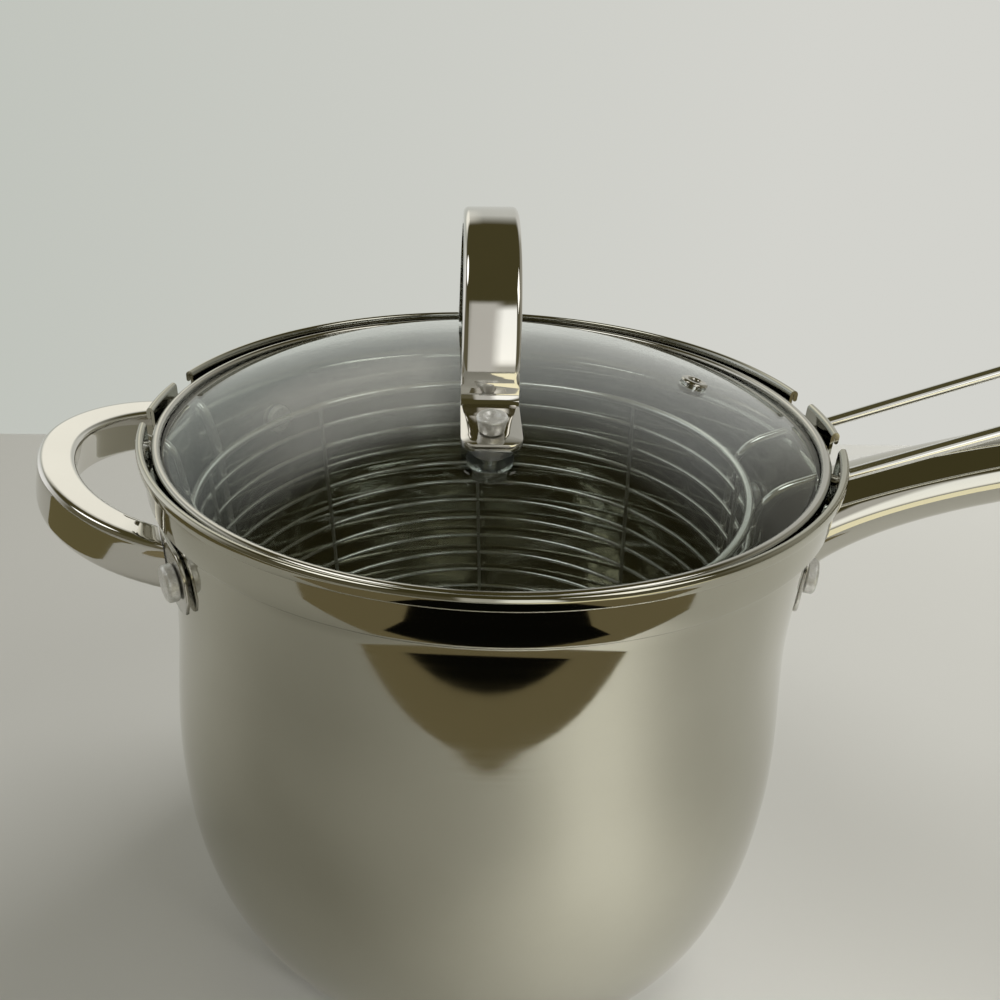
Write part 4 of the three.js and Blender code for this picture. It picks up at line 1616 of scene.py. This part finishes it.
@dataclass
class GlassLid:
    """The domed glass in its steel ring, with the strap handle and its fasteners."""

    shell: PotShell
    turn: float = math.radians(2.5)
    clearance: float = 1.9
    ring_height: float = 8.2
    ring_wall: float = 0.8
    ring_lip: float = 3.6
    ring_round: float = 0.9
    ring_bead: float = 2.9
    bead_tuck: float = 0.5
    glass_thickness: float = 4.0
    glass_edge: float = 1.0
    dome_steps: int = 48
    dome_rise: float = 24.2
    strap_width: float = 16.8
    strap_thickness: float = 4.5
    strap_height: float = 46.7
    strap_half_span: float = 43.0
    foot_reach: float = 67.0
    foot_thickness: float = 1.8
    foot_bend: float = 3.0
    foot_corner: float = 4.0
    strap_bevel: float = 1.7
    arch_share: float = 0.985
    foot_slope: float = math.radians(6)
    foot_bevel: float = 0.35
    foot_bore: Point2 = (6.0, 2.0)
    foot_angle: float = 50.0
    strap_angle: float = 32.0
    arch_steps: int = 44
    stud_offset: float = 59.0
    stud_radius: float = 4.3
    stud_foot_radius: float = 3.6
    stud_height: float = 5.0
    stud_dimple: Point2 = (2.2, 1.2)
    stud_break: float = 0.3
    stud_taper: Point2 = (0.25, 1.6)
    stud_round: float = 0.8
    shank_radius: float = 2.2
    washer_radius: float = 7.3
    washer_edge: float = 0.25
    inner_washer_radius: float = 6.5
    inner_washer_rim: float = 0.8
    nut_radius: float = 5.5
    nut_height: float = 3.5
    nut_bevel: float = 0.35
    eyelet_offset: float = 69.5
    eyelet_flange: Point2 = (4.6, 0.9)
    eyelet_tube_radius: float = 3.0
    eyelet_bore_radius: float = 2.0
    eyelet_roll: float = 1.2
    eyelet_mouth: float = 0.9
    hoop_facets: int = 192
    fastener_facets: int = 48
    bore_facets: int = 32
    bore_reach: float = 60.0
    vent_reach: float = 8.0
    place: Matrix = field(init=False)

    def __post_init__(self) -> None:
        """Works out how the lid lies on the basket's wires."""
        under = math.sqrt(self.radius**2 - self.shell.wire_spread**2)
        lift = self.shell.wire_height(under) + self.shell.wire_half_height + SEAT_GAP
        self.place = Matrix.Translation((0, 0, lift)) @ Matrix.Rotation(self.turn, 4, "Z")

    @property
    def radius(self) -> float:
        """Outside of the lid's ring."""
        return self.shell.collar_inside - self.clearance

    @property
    def glass_radius(self) -> float:
        """Edge of the glass."""
        return self.radius - self.ring_wall - SEAT_GAP

    @property
    def dome_radius(self) -> float:
        """Radius of the sphere that the dome is part of."""
        return (self.glass_radius**2 + self.dome_rise**2) / (2 * self.dome_rise)

    @property
    def plate_bottom(self) -> float:
        """Underside of the strap's feet."""
        return self.dome(self.strap_half_span - self.strap_thickness) + self.glass_thickness + SEAT_GAP

    @property
    def plate_top(self) -> float:
        """Upper side of the strap's feet."""
        return self.plate_bottom + self.foot_thickness

    def foot_height(self, offset: float, side: float) -> float:
        """Height of a foot of the strap.

        Args:
            offset: distance from the lid's axis.
            side: 0 for the foot's underside and 1 for its upper side.

        Returns:
            The height there.
        """
        bend = self.foot_bend + self.foot_thickness * (1 - side)
        start = self.strap_half_span - self.strap_thickness * (1 - side) + bend * (1 - math.sin(self.foot_slope))
        level = self.plate_bottom + self.foot_thickness + self.foot_bend - bend * math.cos(self.foot_slope)
        return level - (offset - start) * math.tan(self.foot_slope)

    def dome(self, radius: float) -> float:
        """Height of the glass's underside at a distance from the lid's axis."""
        drop = self.dome_radius - math.sqrt(self.dome_radius**2 - radius**2)
        return self.ring_wall + SEAT_GAP + self.dome_rise - drop

    def dress(self, piece: Piece, finish: Finish, slot: Slot, node: str, angle: float = SMOOTH_ANGLE) -> None:
        """Lays a piece that was made in the lid's own frame on the wires, and dresses it."""
        Bench.move(piece, self.place)
        Bench.dress(piece, finish, Body.LID, slot, node, angle=angle)

    def eyelet_seat(self) -> Matrix:
        """Finds where the vent stands on the dome.

        Returns:
            The place of its axis.
        """
        slope = math.asin(self.eyelet_offset / self.dome_radius)
        middle = self.dome(self.eyelet_offset) + self.glass_thickness / 2
        return Matrix.Translation((self.eyelet_offset, 0, middle)) @ Matrix.Rotation(slope, 4, "Y")

    def bore_for_studs(self, piece: Piece, bottom: float, top: float) -> None:
        """Bores a piece for the shanks of both studs.

        Args:
            piece: the glass or the strap.
            bottom: lower end of the bores.
            top: their upper end.
        """
        for side in (-1, 1):
            bore = Bench.rod("stud_bore", self.shank_radius + SEAT_GAP, bottom, top, self.bore_facets)
            Bench.move(bore, Matrix.Translation((0, side * self.stud_offset, 0)))
            Bench.carve(piece, bore)

    def glass(self) -> None:
        """Turns the dome, rounds its edge and bores it for the studs and the vent."""
        edge = self.glass_radius - self.glass_edge
        radii = [edge * index / self.dome_steps for index in range(self.dome_steps + 1)]
        low = [(radius, self.dome(radius)) for radius in radii]
        high = [(radius, self.dome(radius) + self.glass_thickness) for radius in reversed(radii)]
        middle = self.dome(edge) + self.glass_thickness / 2
        rim = arc((edge, middle), (self.glass_edge, self.glass_thickness / 2), -80, 80, 8)
        piece = Bench.lathe("dome_glass", [*low, *rim, *high], self.hoop_facets)
        self.bore_for_studs(piece, 0, self.bore_reach)
        vent = self.eyelet_tube_radius + SEAT_GAP
        bore = Bench.rod("vent_bore", vent, -self.vent_reach, self.vent_reach, self.bore_facets)
        Bench.move(bore, self.eyelet_seat())
        Bench.carve(piece, bore)
        self.dress(piece, LID_GLASS, Slot.GLASS, "lid_glass", FINE_ANGLE)

    def ring(self) -> None:
        """Turns the steel ring that grips the edge of the glass."""
        lip = self.radius - self.ring_lip
        bead = self.radius - self.ring_bead
        top = max(self.dome(lip) + self.glass_thickness + SEAT_GAP + self.ring_wall, self.ring_height)
        outer = self.radius - self.ring_round
        inner = self.radius - self.ring_wall
        half = self.ring_bead / 2
        profile = [
            (lip, 0.0),
            *arc((outer, self.ring_round), (self.ring_round,) * 2, -90, 0, 6),
            *arc((self.radius - half, top - half), (half, half), 0, 180, 20),
            (bead, top - half - self.bead_tuck),
            (inner, top - half - self.bead_tuck),
            (inner, self.ring_wall),
            (lip, self.ring_wall),
            (lip, 0.0),
        ]
        hoop = Bench.lathe("lid_hoop", profile, self.hoop_facets)
        self.dress(hoop, BRIGHT_RING, Slot.MIRROR_STEEL, "lid_ring")

    def strap(self) -> None:
        """Draws the strap's outline, extrudes it to its width and rounds its edges."""
        bottom, top = self.plate_bottom, self.plate_top
        inner = self.strap_half_span - self.strap_thickness
        crown = top + self.strap_height - self.strap_thickness
        bend = self.foot_bend
        turn_out = (bend,) * 2
        turn_in = (bend + self.foot_thickness,) * 2
        level = 270 - math.degrees(self.foot_slope)
        arch = (self.strap_half_span, self.strap_height - bend)
        outer_right = arc((0.0, top + bend), arch, 90, 0, self.arch_steps)
        foot_right = arc((self.strap_half_span + bend, top + bend), turn_out, 180, level, 8)
        heel_right = arc((inner + turn_in[0], bottom + turn_in[0]), turn_in, level, 180, 8)
        hollow = (inner, crown - bottom - turn_in[0])
        inner_right = arc((0.0, bottom + turn_in[0]), hollow, 0, 90, self.arch_steps)
        tip = [(self.foot_reach, self.foot_height(self.foot_reach, side)) for side in (1.0, 0.0)]
        right = [*outer_right, *foot_right[1:], *tip, *heel_right, *inner_right[1:]]
        left = [(-y, z) for y, z in reversed(right)]
        outline = [*right, *left]
        piece = Bench.chain("strap_arch", [Vector((-self.strap_width / 2, y, z)) for y, z in outline])
        bpy.ops.mesh.select_all(action="SELECT")
        bpy.ops.mesh.remove_doubles(threshold=MERGE_DISTANCE)
        bpy.ops.mesh.edge_face_add()
        bpy.ops.mesh.extrude_region_move(TRANSFORM_OT_translate={"value": (self.strap_width * MM, 0, 0)})

        def tip_corner(edge: bmesh.types.BMEdge) -> bool:
            """Tells the corners at the tips of the feet.

            Args:
                edge: any edge of the strap.

            Returns:
                Whether it is an upright one at a tip.
            """
            upright = abs(edge.verts[0].co.x - edge.verts[1].co.x) < EDGE_SLACK * MM
            least = (self.foot_reach - EDGE_SLACK) * MM
            return upright and all(abs(vertex.co.y) > least for vertex in edge.verts)

        Bench.round_edges(piece, tip_corner, self.foot_corner)
        shoulder = top + 2 * bend

        def long_edge(edge: bmesh.types.BMEdge) -> bool:
            """Tells the long outer edges of the arch.

            Args:
                edge: any edge of the strap.

            Returns:
                Whether it runs along the outside of the arch, above its feet.
            """
            if abs(edge.verts[0].co.x - edge.verts[1].co.x) > EDGE_SLACK * MM:
                return False
            for vertex in edge.verts:
                height = vertex.co.z / MM - top - bend
                reach = math.hypot(vertex.co.y / MM / self.strap_half_span, height / (self.strap_height - bend))
                if reach < self.arch_share or vertex.co.z < shoulder * MM:
                    return False
            return True

        Bench.round_edges(piece, long_edge, self.strap_bevel, 6)
        Bench.seal()
        Bench.soften(piece, self.foot_bevel, 3, self.foot_angle)
        below, above = self.foot_bore
        self.bore_for_studs(piece, bottom - below, top + above)
        self.dress(piece, POLISHED_STRAP, Slot.MIRROR_STEEL, "lid_handle", self.strap_angle)

    def fasteners(self) -> None:
        """Makes the stud, washers and nut at each foot of the strap."""
        top = self.foot_height(self.stud_offset, 1.0)
        inner_bottom = self.dome(self.stud_offset + self.inner_washer_radius) - 2 * SEAT_GAP - self.inner_washer_rim
        nut_top = inner_bottom - SEAT_GAP
        head = top + self.stud_height
        edge = self.stud_round
        dimple = arc((0.0, head), self.stud_dimple, 0, -90, 6)
        stud = [
            (0.0, nut_top - self.nut_height),
            (self.shank_radius, nut_top - self.nut_height),
            (self.shank_radius, top + SEAT_GAP),
            (self.stud_foot_radius - self.stud_break, top + SEAT_GAP),
            (self.stud_foot_radius, top + SEAT_GAP + self.stud_break),
            (self.stud_radius - self.stud_taper[0], head - self.stud_taper[1]),
            *arc((self.stud_radius - edge, head - edge), (edge, edge), 0, 90, 6),
            (self.stud_dimple[0] + self.stud_break, head),
            *dimple[1:],
        ]
        bore = self.shank_radius + SEAT_GAP
        seat = Matrix.Translation((0, -self.stud_offset, 0))
        pivot = Matrix.Translation((0, 0, self.dome(self.stud_offset)))
        shank = Bench.lathe("stud", stud, self.fastener_facets)
        Bench.move(shank, seat @ pivot @ Matrix.Rotation(self.foot_slope, 4, "X") @ pivot.inverted())
        washer = self.cushion("washer", bore, self.washer_radius, seat, None)
        inner = self.cushion("inner_washer", bore, self.inner_washer_radius, seat, inner_bottom)
        nut = Bench.rod("nut", self.nut_radius, nut_top - self.nut_height, nut_top, 6)
        Bench.carve(nut, Bench.rod("nut_bore", bore, -self.bore_reach, self.bore_reach, 24))
        Bench.soften(nut, self.nut_bevel, 2)
        Bench.move(nut, seat)
        patterns = {
            "stud": (shank, RIVET_METAL, Slot.ALUMINIUM),
            "washer": (washer, WASHER_SILICONE, Slot.SILICONE),
            "inner_washer": (inner, WASHER_SILICONE, Slot.SILICONE),
            "nut": (nut, SATIN_PLATE, Slot.SATIN_STEEL),
        }
        turns = {"front": 0.0, "back": math.pi}
        for kind, (pattern, finish, slot) in patterns.items():
            places = {f"{kind}_{end}": Matrix.Rotation(turn, 4, "Z") for end, turn in turns.items()}
            for end, piece in zip(turns, Bench.repeat(pattern, places)):
                self.dress(piece, finish, slot, f"lid_{kind}_{end}")

    def cushion(
        self, name: str, bore: float, radius: float, seat: Matrix, flat: float | None
    ) -> Piece:
        """Turns a washer and fits one of its faces to the dome.

        Args:
            name: the new object's name.
            bore: radius of its hole.
            radius: its outside.
            seat: where it stands.
            flat: height of the lower face of a washer under the glass, or None for one between glass and foot.

        Returns:
            The new object.
        """
        edge = self.washer_edge
        profile = [
            (bore, 0.0),
            (radius - edge, 0.0),
            (radius, edge),
            (radius, 1.0 - edge),
            (radius - edge, 1.0),
            (bore, 1.0),
            (bore, 0.0),
        ]
        piece = Bench.lathe(name, profile, self.fastener_facets)
        Bench.move(piece, seat)

        def fit(point: Vector) -> Vector:
            """Stretches the washer between its two seats.

            Args:
                point: of the flat washer, with its height from 0 to 1.

            Returns:
                The point between the faces that it lies on.
            """
            low = self.dome(math.hypot(point.x, point.y)) - SEAT_GAP
            high = self.foot_height(abs(point.y), 0.0) - SEAT_GAP
            if flat is None:
                low += self.glass_thickness + 2 * SEAT_GAP
            else:
                low, high = flat, low
            return Vector((point.x, point.y, low + (high - low) * point.z))

        Bench.remap(piece, fit)
        return piece

    def eyelet(self) -> None:
        """Turns the steel eyelet of the vent and sets it on the dome."""
        seat = self.glass_thickness / 2 + SEAT_GAP
        flange, thick = self.eyelet_flange
        bore, tube = self.eyelet_bore_radius, self.eyelet_tube_radius
        roll, round_in = bore + self.eyelet_roll, self.eyelet_mouth
        upper = [(flange, seat), *arc((roll, seat), (flange - bore - self.eyelet_roll, thick), 0, 90, 6)]
        lower = [(radius, -height) for radius, height in reversed(upper)]
        mouth = arc((bore + round_in, seat + thick - round_in), (round_in, round_in), 90, 180, 5)
        mouth_below = [(radius, -height) for radius, height in reversed(mouth)]
        profile = [*mouth_below, *lower, (tube, -seat), (tube, seat), *upper, *mouth, mouth_below[0]]
        piece = Bench.lathe("vent_eyelet", profile, self.fastener_facets)
        Bench.move(piece, self.eyelet_seat())
        self.dress(piece, BRIGHT_RING, Slot.SATIN_STEEL, "lid_vent_eyelet")

    def build(self) -> None:
        """Makes the whole lid."""
        self.glass()
        self.ring()
        self.strap()
        self.fasteners()
        self.eyelet()


# Studio


@dataclass(frozen=True)
class Softbox:
    """A square studio lamp."""

    name: str
    place: Point3
    target: Point3
    size: float
    power: float
    colour: Colour = (1.0, 1.0, 1.0)
    mirrored: bool = True
    spread: float = 180.0


@dataclass(frozen=True)
class PaintedReflection:
    """A level plane that glows with its own colour and shows only in polished surfaces: painted reflection, painted
    shade where it is dark and painted light where it is bright.
    """

    name: str
    box: Box
    height: float
    turn: float
    painted_glow: Colour


class Axis(Enum):
    """The ways in which a patch of the room fades in."""

    SIDE = "X"
    DEPTH = "Y"
    RISE = "Z"


Fade = tuple[Axis, float, float]


@dataclass(frozen=True)
class Patch:
    """A part of the room that fades in over what was painted before it."""

    colour: Colour
    fades: tuple[Fade, ...]


@dataclass
class Studio:
    """The camera, the lamps, the floor, the painted reflections and the plain surroundings."""

    camera_place: Point3 = (-0.77, -275.98, 327.86)
    camera_pitch: float = math.radians(28.392)
    camera_yaw: float = math.radians(5.314)
    lens: float = 30.96
    sensor: float = 36.0
    near_clip: float = 0.01
    shift: float = 0.0944
    floor_colour: Colour = (0.72, 0.72, 0.695)
    floor_box: Box = (-4.0, 4.0, -4.0, 0.45)
    floor_turn: float = math.radians(3.5)
    floor_clouds: float = 3.0
    floor_dimming: float = 0.94
    floor_roughness: float = 0.55
    wall_left: Colour = (0.53, 0.55, 0.505)
    wall_right: Patch = Patch((0.65, 0.65, 0.61), ((Axis.SIDE, -0.5, 0.3),))
    window_wall: Patch = Patch((0.95, 0.95, 0.94), ((Axis.SIDE, -0.62, -0.9),))
    shaded_wall: Patch = Patch((0.34, 0.33, 0.28), ((Axis.SIDE, 0.5, 0.64),))
    dim_side: Patch = Patch((0.12, 0.108, 0.065), ((Axis.DEPTH, 0.25, -0.25),))
    ceiling: Patch = Patch((0.068, 0.059, 0.024), ((Axis.RISE, 0.52, 0.74),))
    high_wall: Patch = Patch(
        (1.1, 1.08, 0.98),
        (
            (Axis.SIDE, -0.02, -0.13),
            (Axis.SIDE, -0.6, -0.4),
            (Axis.DEPTH, 0.3, 0.5),
            (Axis.RISE, 0.24, 0.42),
            (Axis.RISE, 0.76, 0.64),
        ),
    )
    window_blind: Patch = Patch((0.58, 0.57, 0.53), ((Axis.SIDE, 0.16, 0.09),))
    window_edge: Fade = (Axis.SIDE, -0.09, -0.05)
    window_slant: float = 0.45
    window_slant_edge: Point2 = (0.04, -0.04)
    window_front: Fade = (Axis.DEPTH, -0.4, -0.5)
    window_top: Fade = (Axis.RISE, 0.8, 0.76)
    skylight: Colour = (2.2, 2.2, 2.15)
    skylight_way: Point3 = (-0.455, -0.1, 0.885)
    skylight_edge: Point2 = (0.972, 0.985)
    front_bands: tuple[tuple[float, Colour], ...] = (
        (0.0, (0.50, 0.49, 0.43)),
        (0.06, (1.15, 1.14, 1.06)),
        (0.12, (1.35, 1.35, 1.28)),
        (0.70, (1.25, 1.26, 1.22)),
        (0.76, (0.12, 0.108, 0.065)),
    )
    # Painted reflections: the front, dark and left planes glow dark as painted shade of the floor in the steel, and
    # the warm one glows bright as painted light.
    painted_reflections: tuple[PaintedReflection, ...] = (
        PaintedReflection("front_card", (-0.19, 0.22, -0.46, -0.1725), 0.1, math.radians(5.2), (0.19, 0.158, 0.085)),
        PaintedReflection("dark_card", (-0.075, 0.115, -0.46, -0.192), 0.1004, math.radians(4.0), (0.003, 0.003, 0.002)),
        PaintedReflection("left_card", (-1.6, -0.43, -0.6, 0.12), 0.002, 0.0, (0.13, 0.11, 0.05)),
        PaintedReflection("warm_card", (0.3, 1.6, -3.0, -0.5), 0.002, 0.0, (1.2, 1.12, 0.78)),
    )
    lamps: tuple[Softbox, ...] = (
        Softbox("key_box", (0.85, 0.8, 1.3), (0.0, 0.0, 0.05), 0.9, 14.0, (1.0, 0.99, 0.97), False),
        Softbox("right_box", (0.75, -0.4, 1.2), (0.1, -0.1, 0.1), 0.6, 2.0, (1.0, 0.99, 0.96)),
        Softbox("near_box", (0.46, -0.52, 0.42), (0.13, -0.19, 0.0), 0.1, 0.105, (1.0, 0.99, 0.96), False, 27.0),
    )

    def camera(self) -> None:
        """Puts the camera where the photograph was taken."""
        data = bpy.data.cameras.new("photo_camera")
        data.lens = self.lens
        data.sensor_width = self.sensor
        data.shift_x = self.shift
        data.clip_start = self.near_clip
        camera = bpy.data.objects.new("photo_camera", data)
        camera.location = Vector(self.camera_place) * MM
        camera.rotation_euler = (math.pi / 2 - self.camera_pitch, 0, self.camera_yaw)
        bpy.context.scene.collection.objects.link(camera)
        bpy.context.scene.camera = camera

    def light(self) -> None:
        """Hangs the lamps."""
        for box in self.lamps:
            data = bpy.data.lights.new(box.name, "AREA")
            data.size = box.size
            data.energy = box.power
            data.color = box.colour
            data.spread = math.radians(box.spread)
            lamp = bpy.data.objects.new(box.name, data)
            lamp.location = box.place
            way = Vector(box.target) - Vector(box.place)
            lamp.rotation_euler = way.to_track_quat("-Z", "Y").to_euler()
            lamp.visible_camera = False
            lamp.visible_glossy = box.mirrored
            lamp.visible_transmission = box.mirrored
            bpy.context.scene.collection.objects.link(lamp)

    @staticmethod
    def plane(name: str, box: Box, height: float, turn: float) -> Piece:
        """Lays a plane.

        Args:
            name: the new object's name.
            box: left, right, near and far edge in metres.
            height: above the floor in metres.
            turn: about the middle of its far edge.

        Returns:
            The new object, marked as part of the stage.
        """
        left, right, near, far = box
        Bench.begin()
        bpy.ops.mesh.primitive_plane_add(size=1)
        piece = Bench.made(name)
        piece.scale = (right - left, far - near, 1)
        piece.location = (0, (near - far) / 2, 0)
        bpy.ops.object.transform_apply(location=True, rotation=True, scale=True)
        piece.rotation_euler = (0, 0, turn)
        piece.location = ((left + right) / 2, far, height)
        bpy.ops.object.transform_apply(location=True, rotation=True, scale=True)
        return piece

    def ground(self) -> None:
        """Lays the pale floor that the pot stands on."""
        floor = self.plane("studio_floor", self.floor_box, 0.0, self.floor_turn)
        material = bpy.data.materials.new("studio_floor")
        shader = Shader(material)
        cloud = shader.noise(shader.place(), self.floor_clouds, 4.0)
        dimmer = [self.floor_dimming * part for part in self.floor_colour]
        shader.surface(
            {
                "Base Color": shader.mix(cloud, self.floor_colour, dimmer),
                "Roughness": self.floor_roughness,
                "Specular IOR Level": 0.0,
            }
        )
        floor.data.materials.append(material)

    def lay_painted_reflections(self) -> None:
        """Lays the glowing planes of painted shade and painted light that only the polished steel mirrors."""
        for glowing_plane in self.painted_reflections:
            piece = self.plane(glowing_plane.name, glowing_plane.box, glowing_plane.height, glowing_plane.turn)
            material = bpy.data.materials.new(glowing_plane.name)
            shader = Shader(material)
            # The glow is painted reflection: it shows only in glossy reflections and casts no shadow.
            painted_glow = shader.node("ShaderNodeEmission", None, {"Color": glowing_plane.painted_glow, "Strength": 1.0})
            shader.node("ShaderNodeOutputMaterial", None, {"Surface": painted_glow})
            piece.data.materials.append(material)
            piece.visible_camera = False
            piece.visible_diffuse = False
            piece.visible_transmission = False
            piece.visible_shadow = False

    def surroundings(self) -> None:
        """Paints the room: pale walls, a dim ceiling, a dim side behind the camera and its bright windows."""
        world = bpy.data.worlds.new("studio_room")
        bpy.context.scene.world = world
        shader = Shader(world)
        way = shader.node("ShaderNodeTexCoord", output="Generated")
        parts = {axis: shader.node("ShaderNodeSeparateXYZ", None, {0: way}, axis.value) for axis in Axis}

        def fade(fades: Sequence[Fade]) -> Value:
            """Multiplies the ramps of several fades.

            Args:
                fades: at least one.

            Returns:
                Their product.
            """
            product, *others = [shader.ramp(parts[axis], low, high) for axis, low, high in fades]
            for other in others:
                product = product * other
            return product

        room = self.wall_left
        patches = (
            self.wall_right,
            self.window_wall,
            self.shaded_wall,
            self.dim_side,
            self.ceiling,
            self.high_wall,
        )
        for patch in patches:
            room = shader.mix(fade(patch.fades), room, patch.colour)
        bands = shader.node("ShaderNodeValToRGB", {"stops": self.front_bands}, {0: parts[Axis.RISE]})
        bands = shader.mix(fade(self.window_blind.fades), bands, self.window_blind.colour)
        slant = parts[Axis.SIDE] + parts[Axis.DEPTH] * self.window_slant
        window = fade([self.window_edge]) * shader.ramp(slant, *self.window_slant_edge)
        window = window * fade([self.window_front]) * fade([self.window_top])
        room = shader.mix(window, room, bands)
        aim = {"operation": "DOT_PRODUCT"}
        nearness = shader.node("ShaderNodeVectorMath", aim, {0: way, 1: self.skylight_way}, "Value")
        room = shader.mix(shader.ramp(nearness, *self.skylight_edge), room, self.skylight)
        light = shader.node("ShaderNodeBackground", None, {"Color": room, "Strength": 1.0})
        shader.node("ShaderNodeOutputWorld", None, {"Surface": light})

    def build(self) -> None:
        """Sets the studio up."""
        self.camera()
        self.light()
        self.ground()
        self.lay_painted_reflections()
        self.surroundings()
        bpy.context.scene.view_settings.view_transform = "Standard"


def main() -> None:
    """Builds every sub-assembly and the studio."""
    logging.basicConfig(level=logging.INFO, format="%(name)s: %(message)s")
    Studio().build()
    shell = PotShell()
    assemblies = (shell, BaseDisc(), LoopHandle(shell), LongHandle(shell), WireBasket(shell), GlassLid(shell))
    for assembly in assemblies:
        assembly.build()
        LOG.info("finished %s", type(assembly).__name__)


if __name__ == "__main__":
    main()
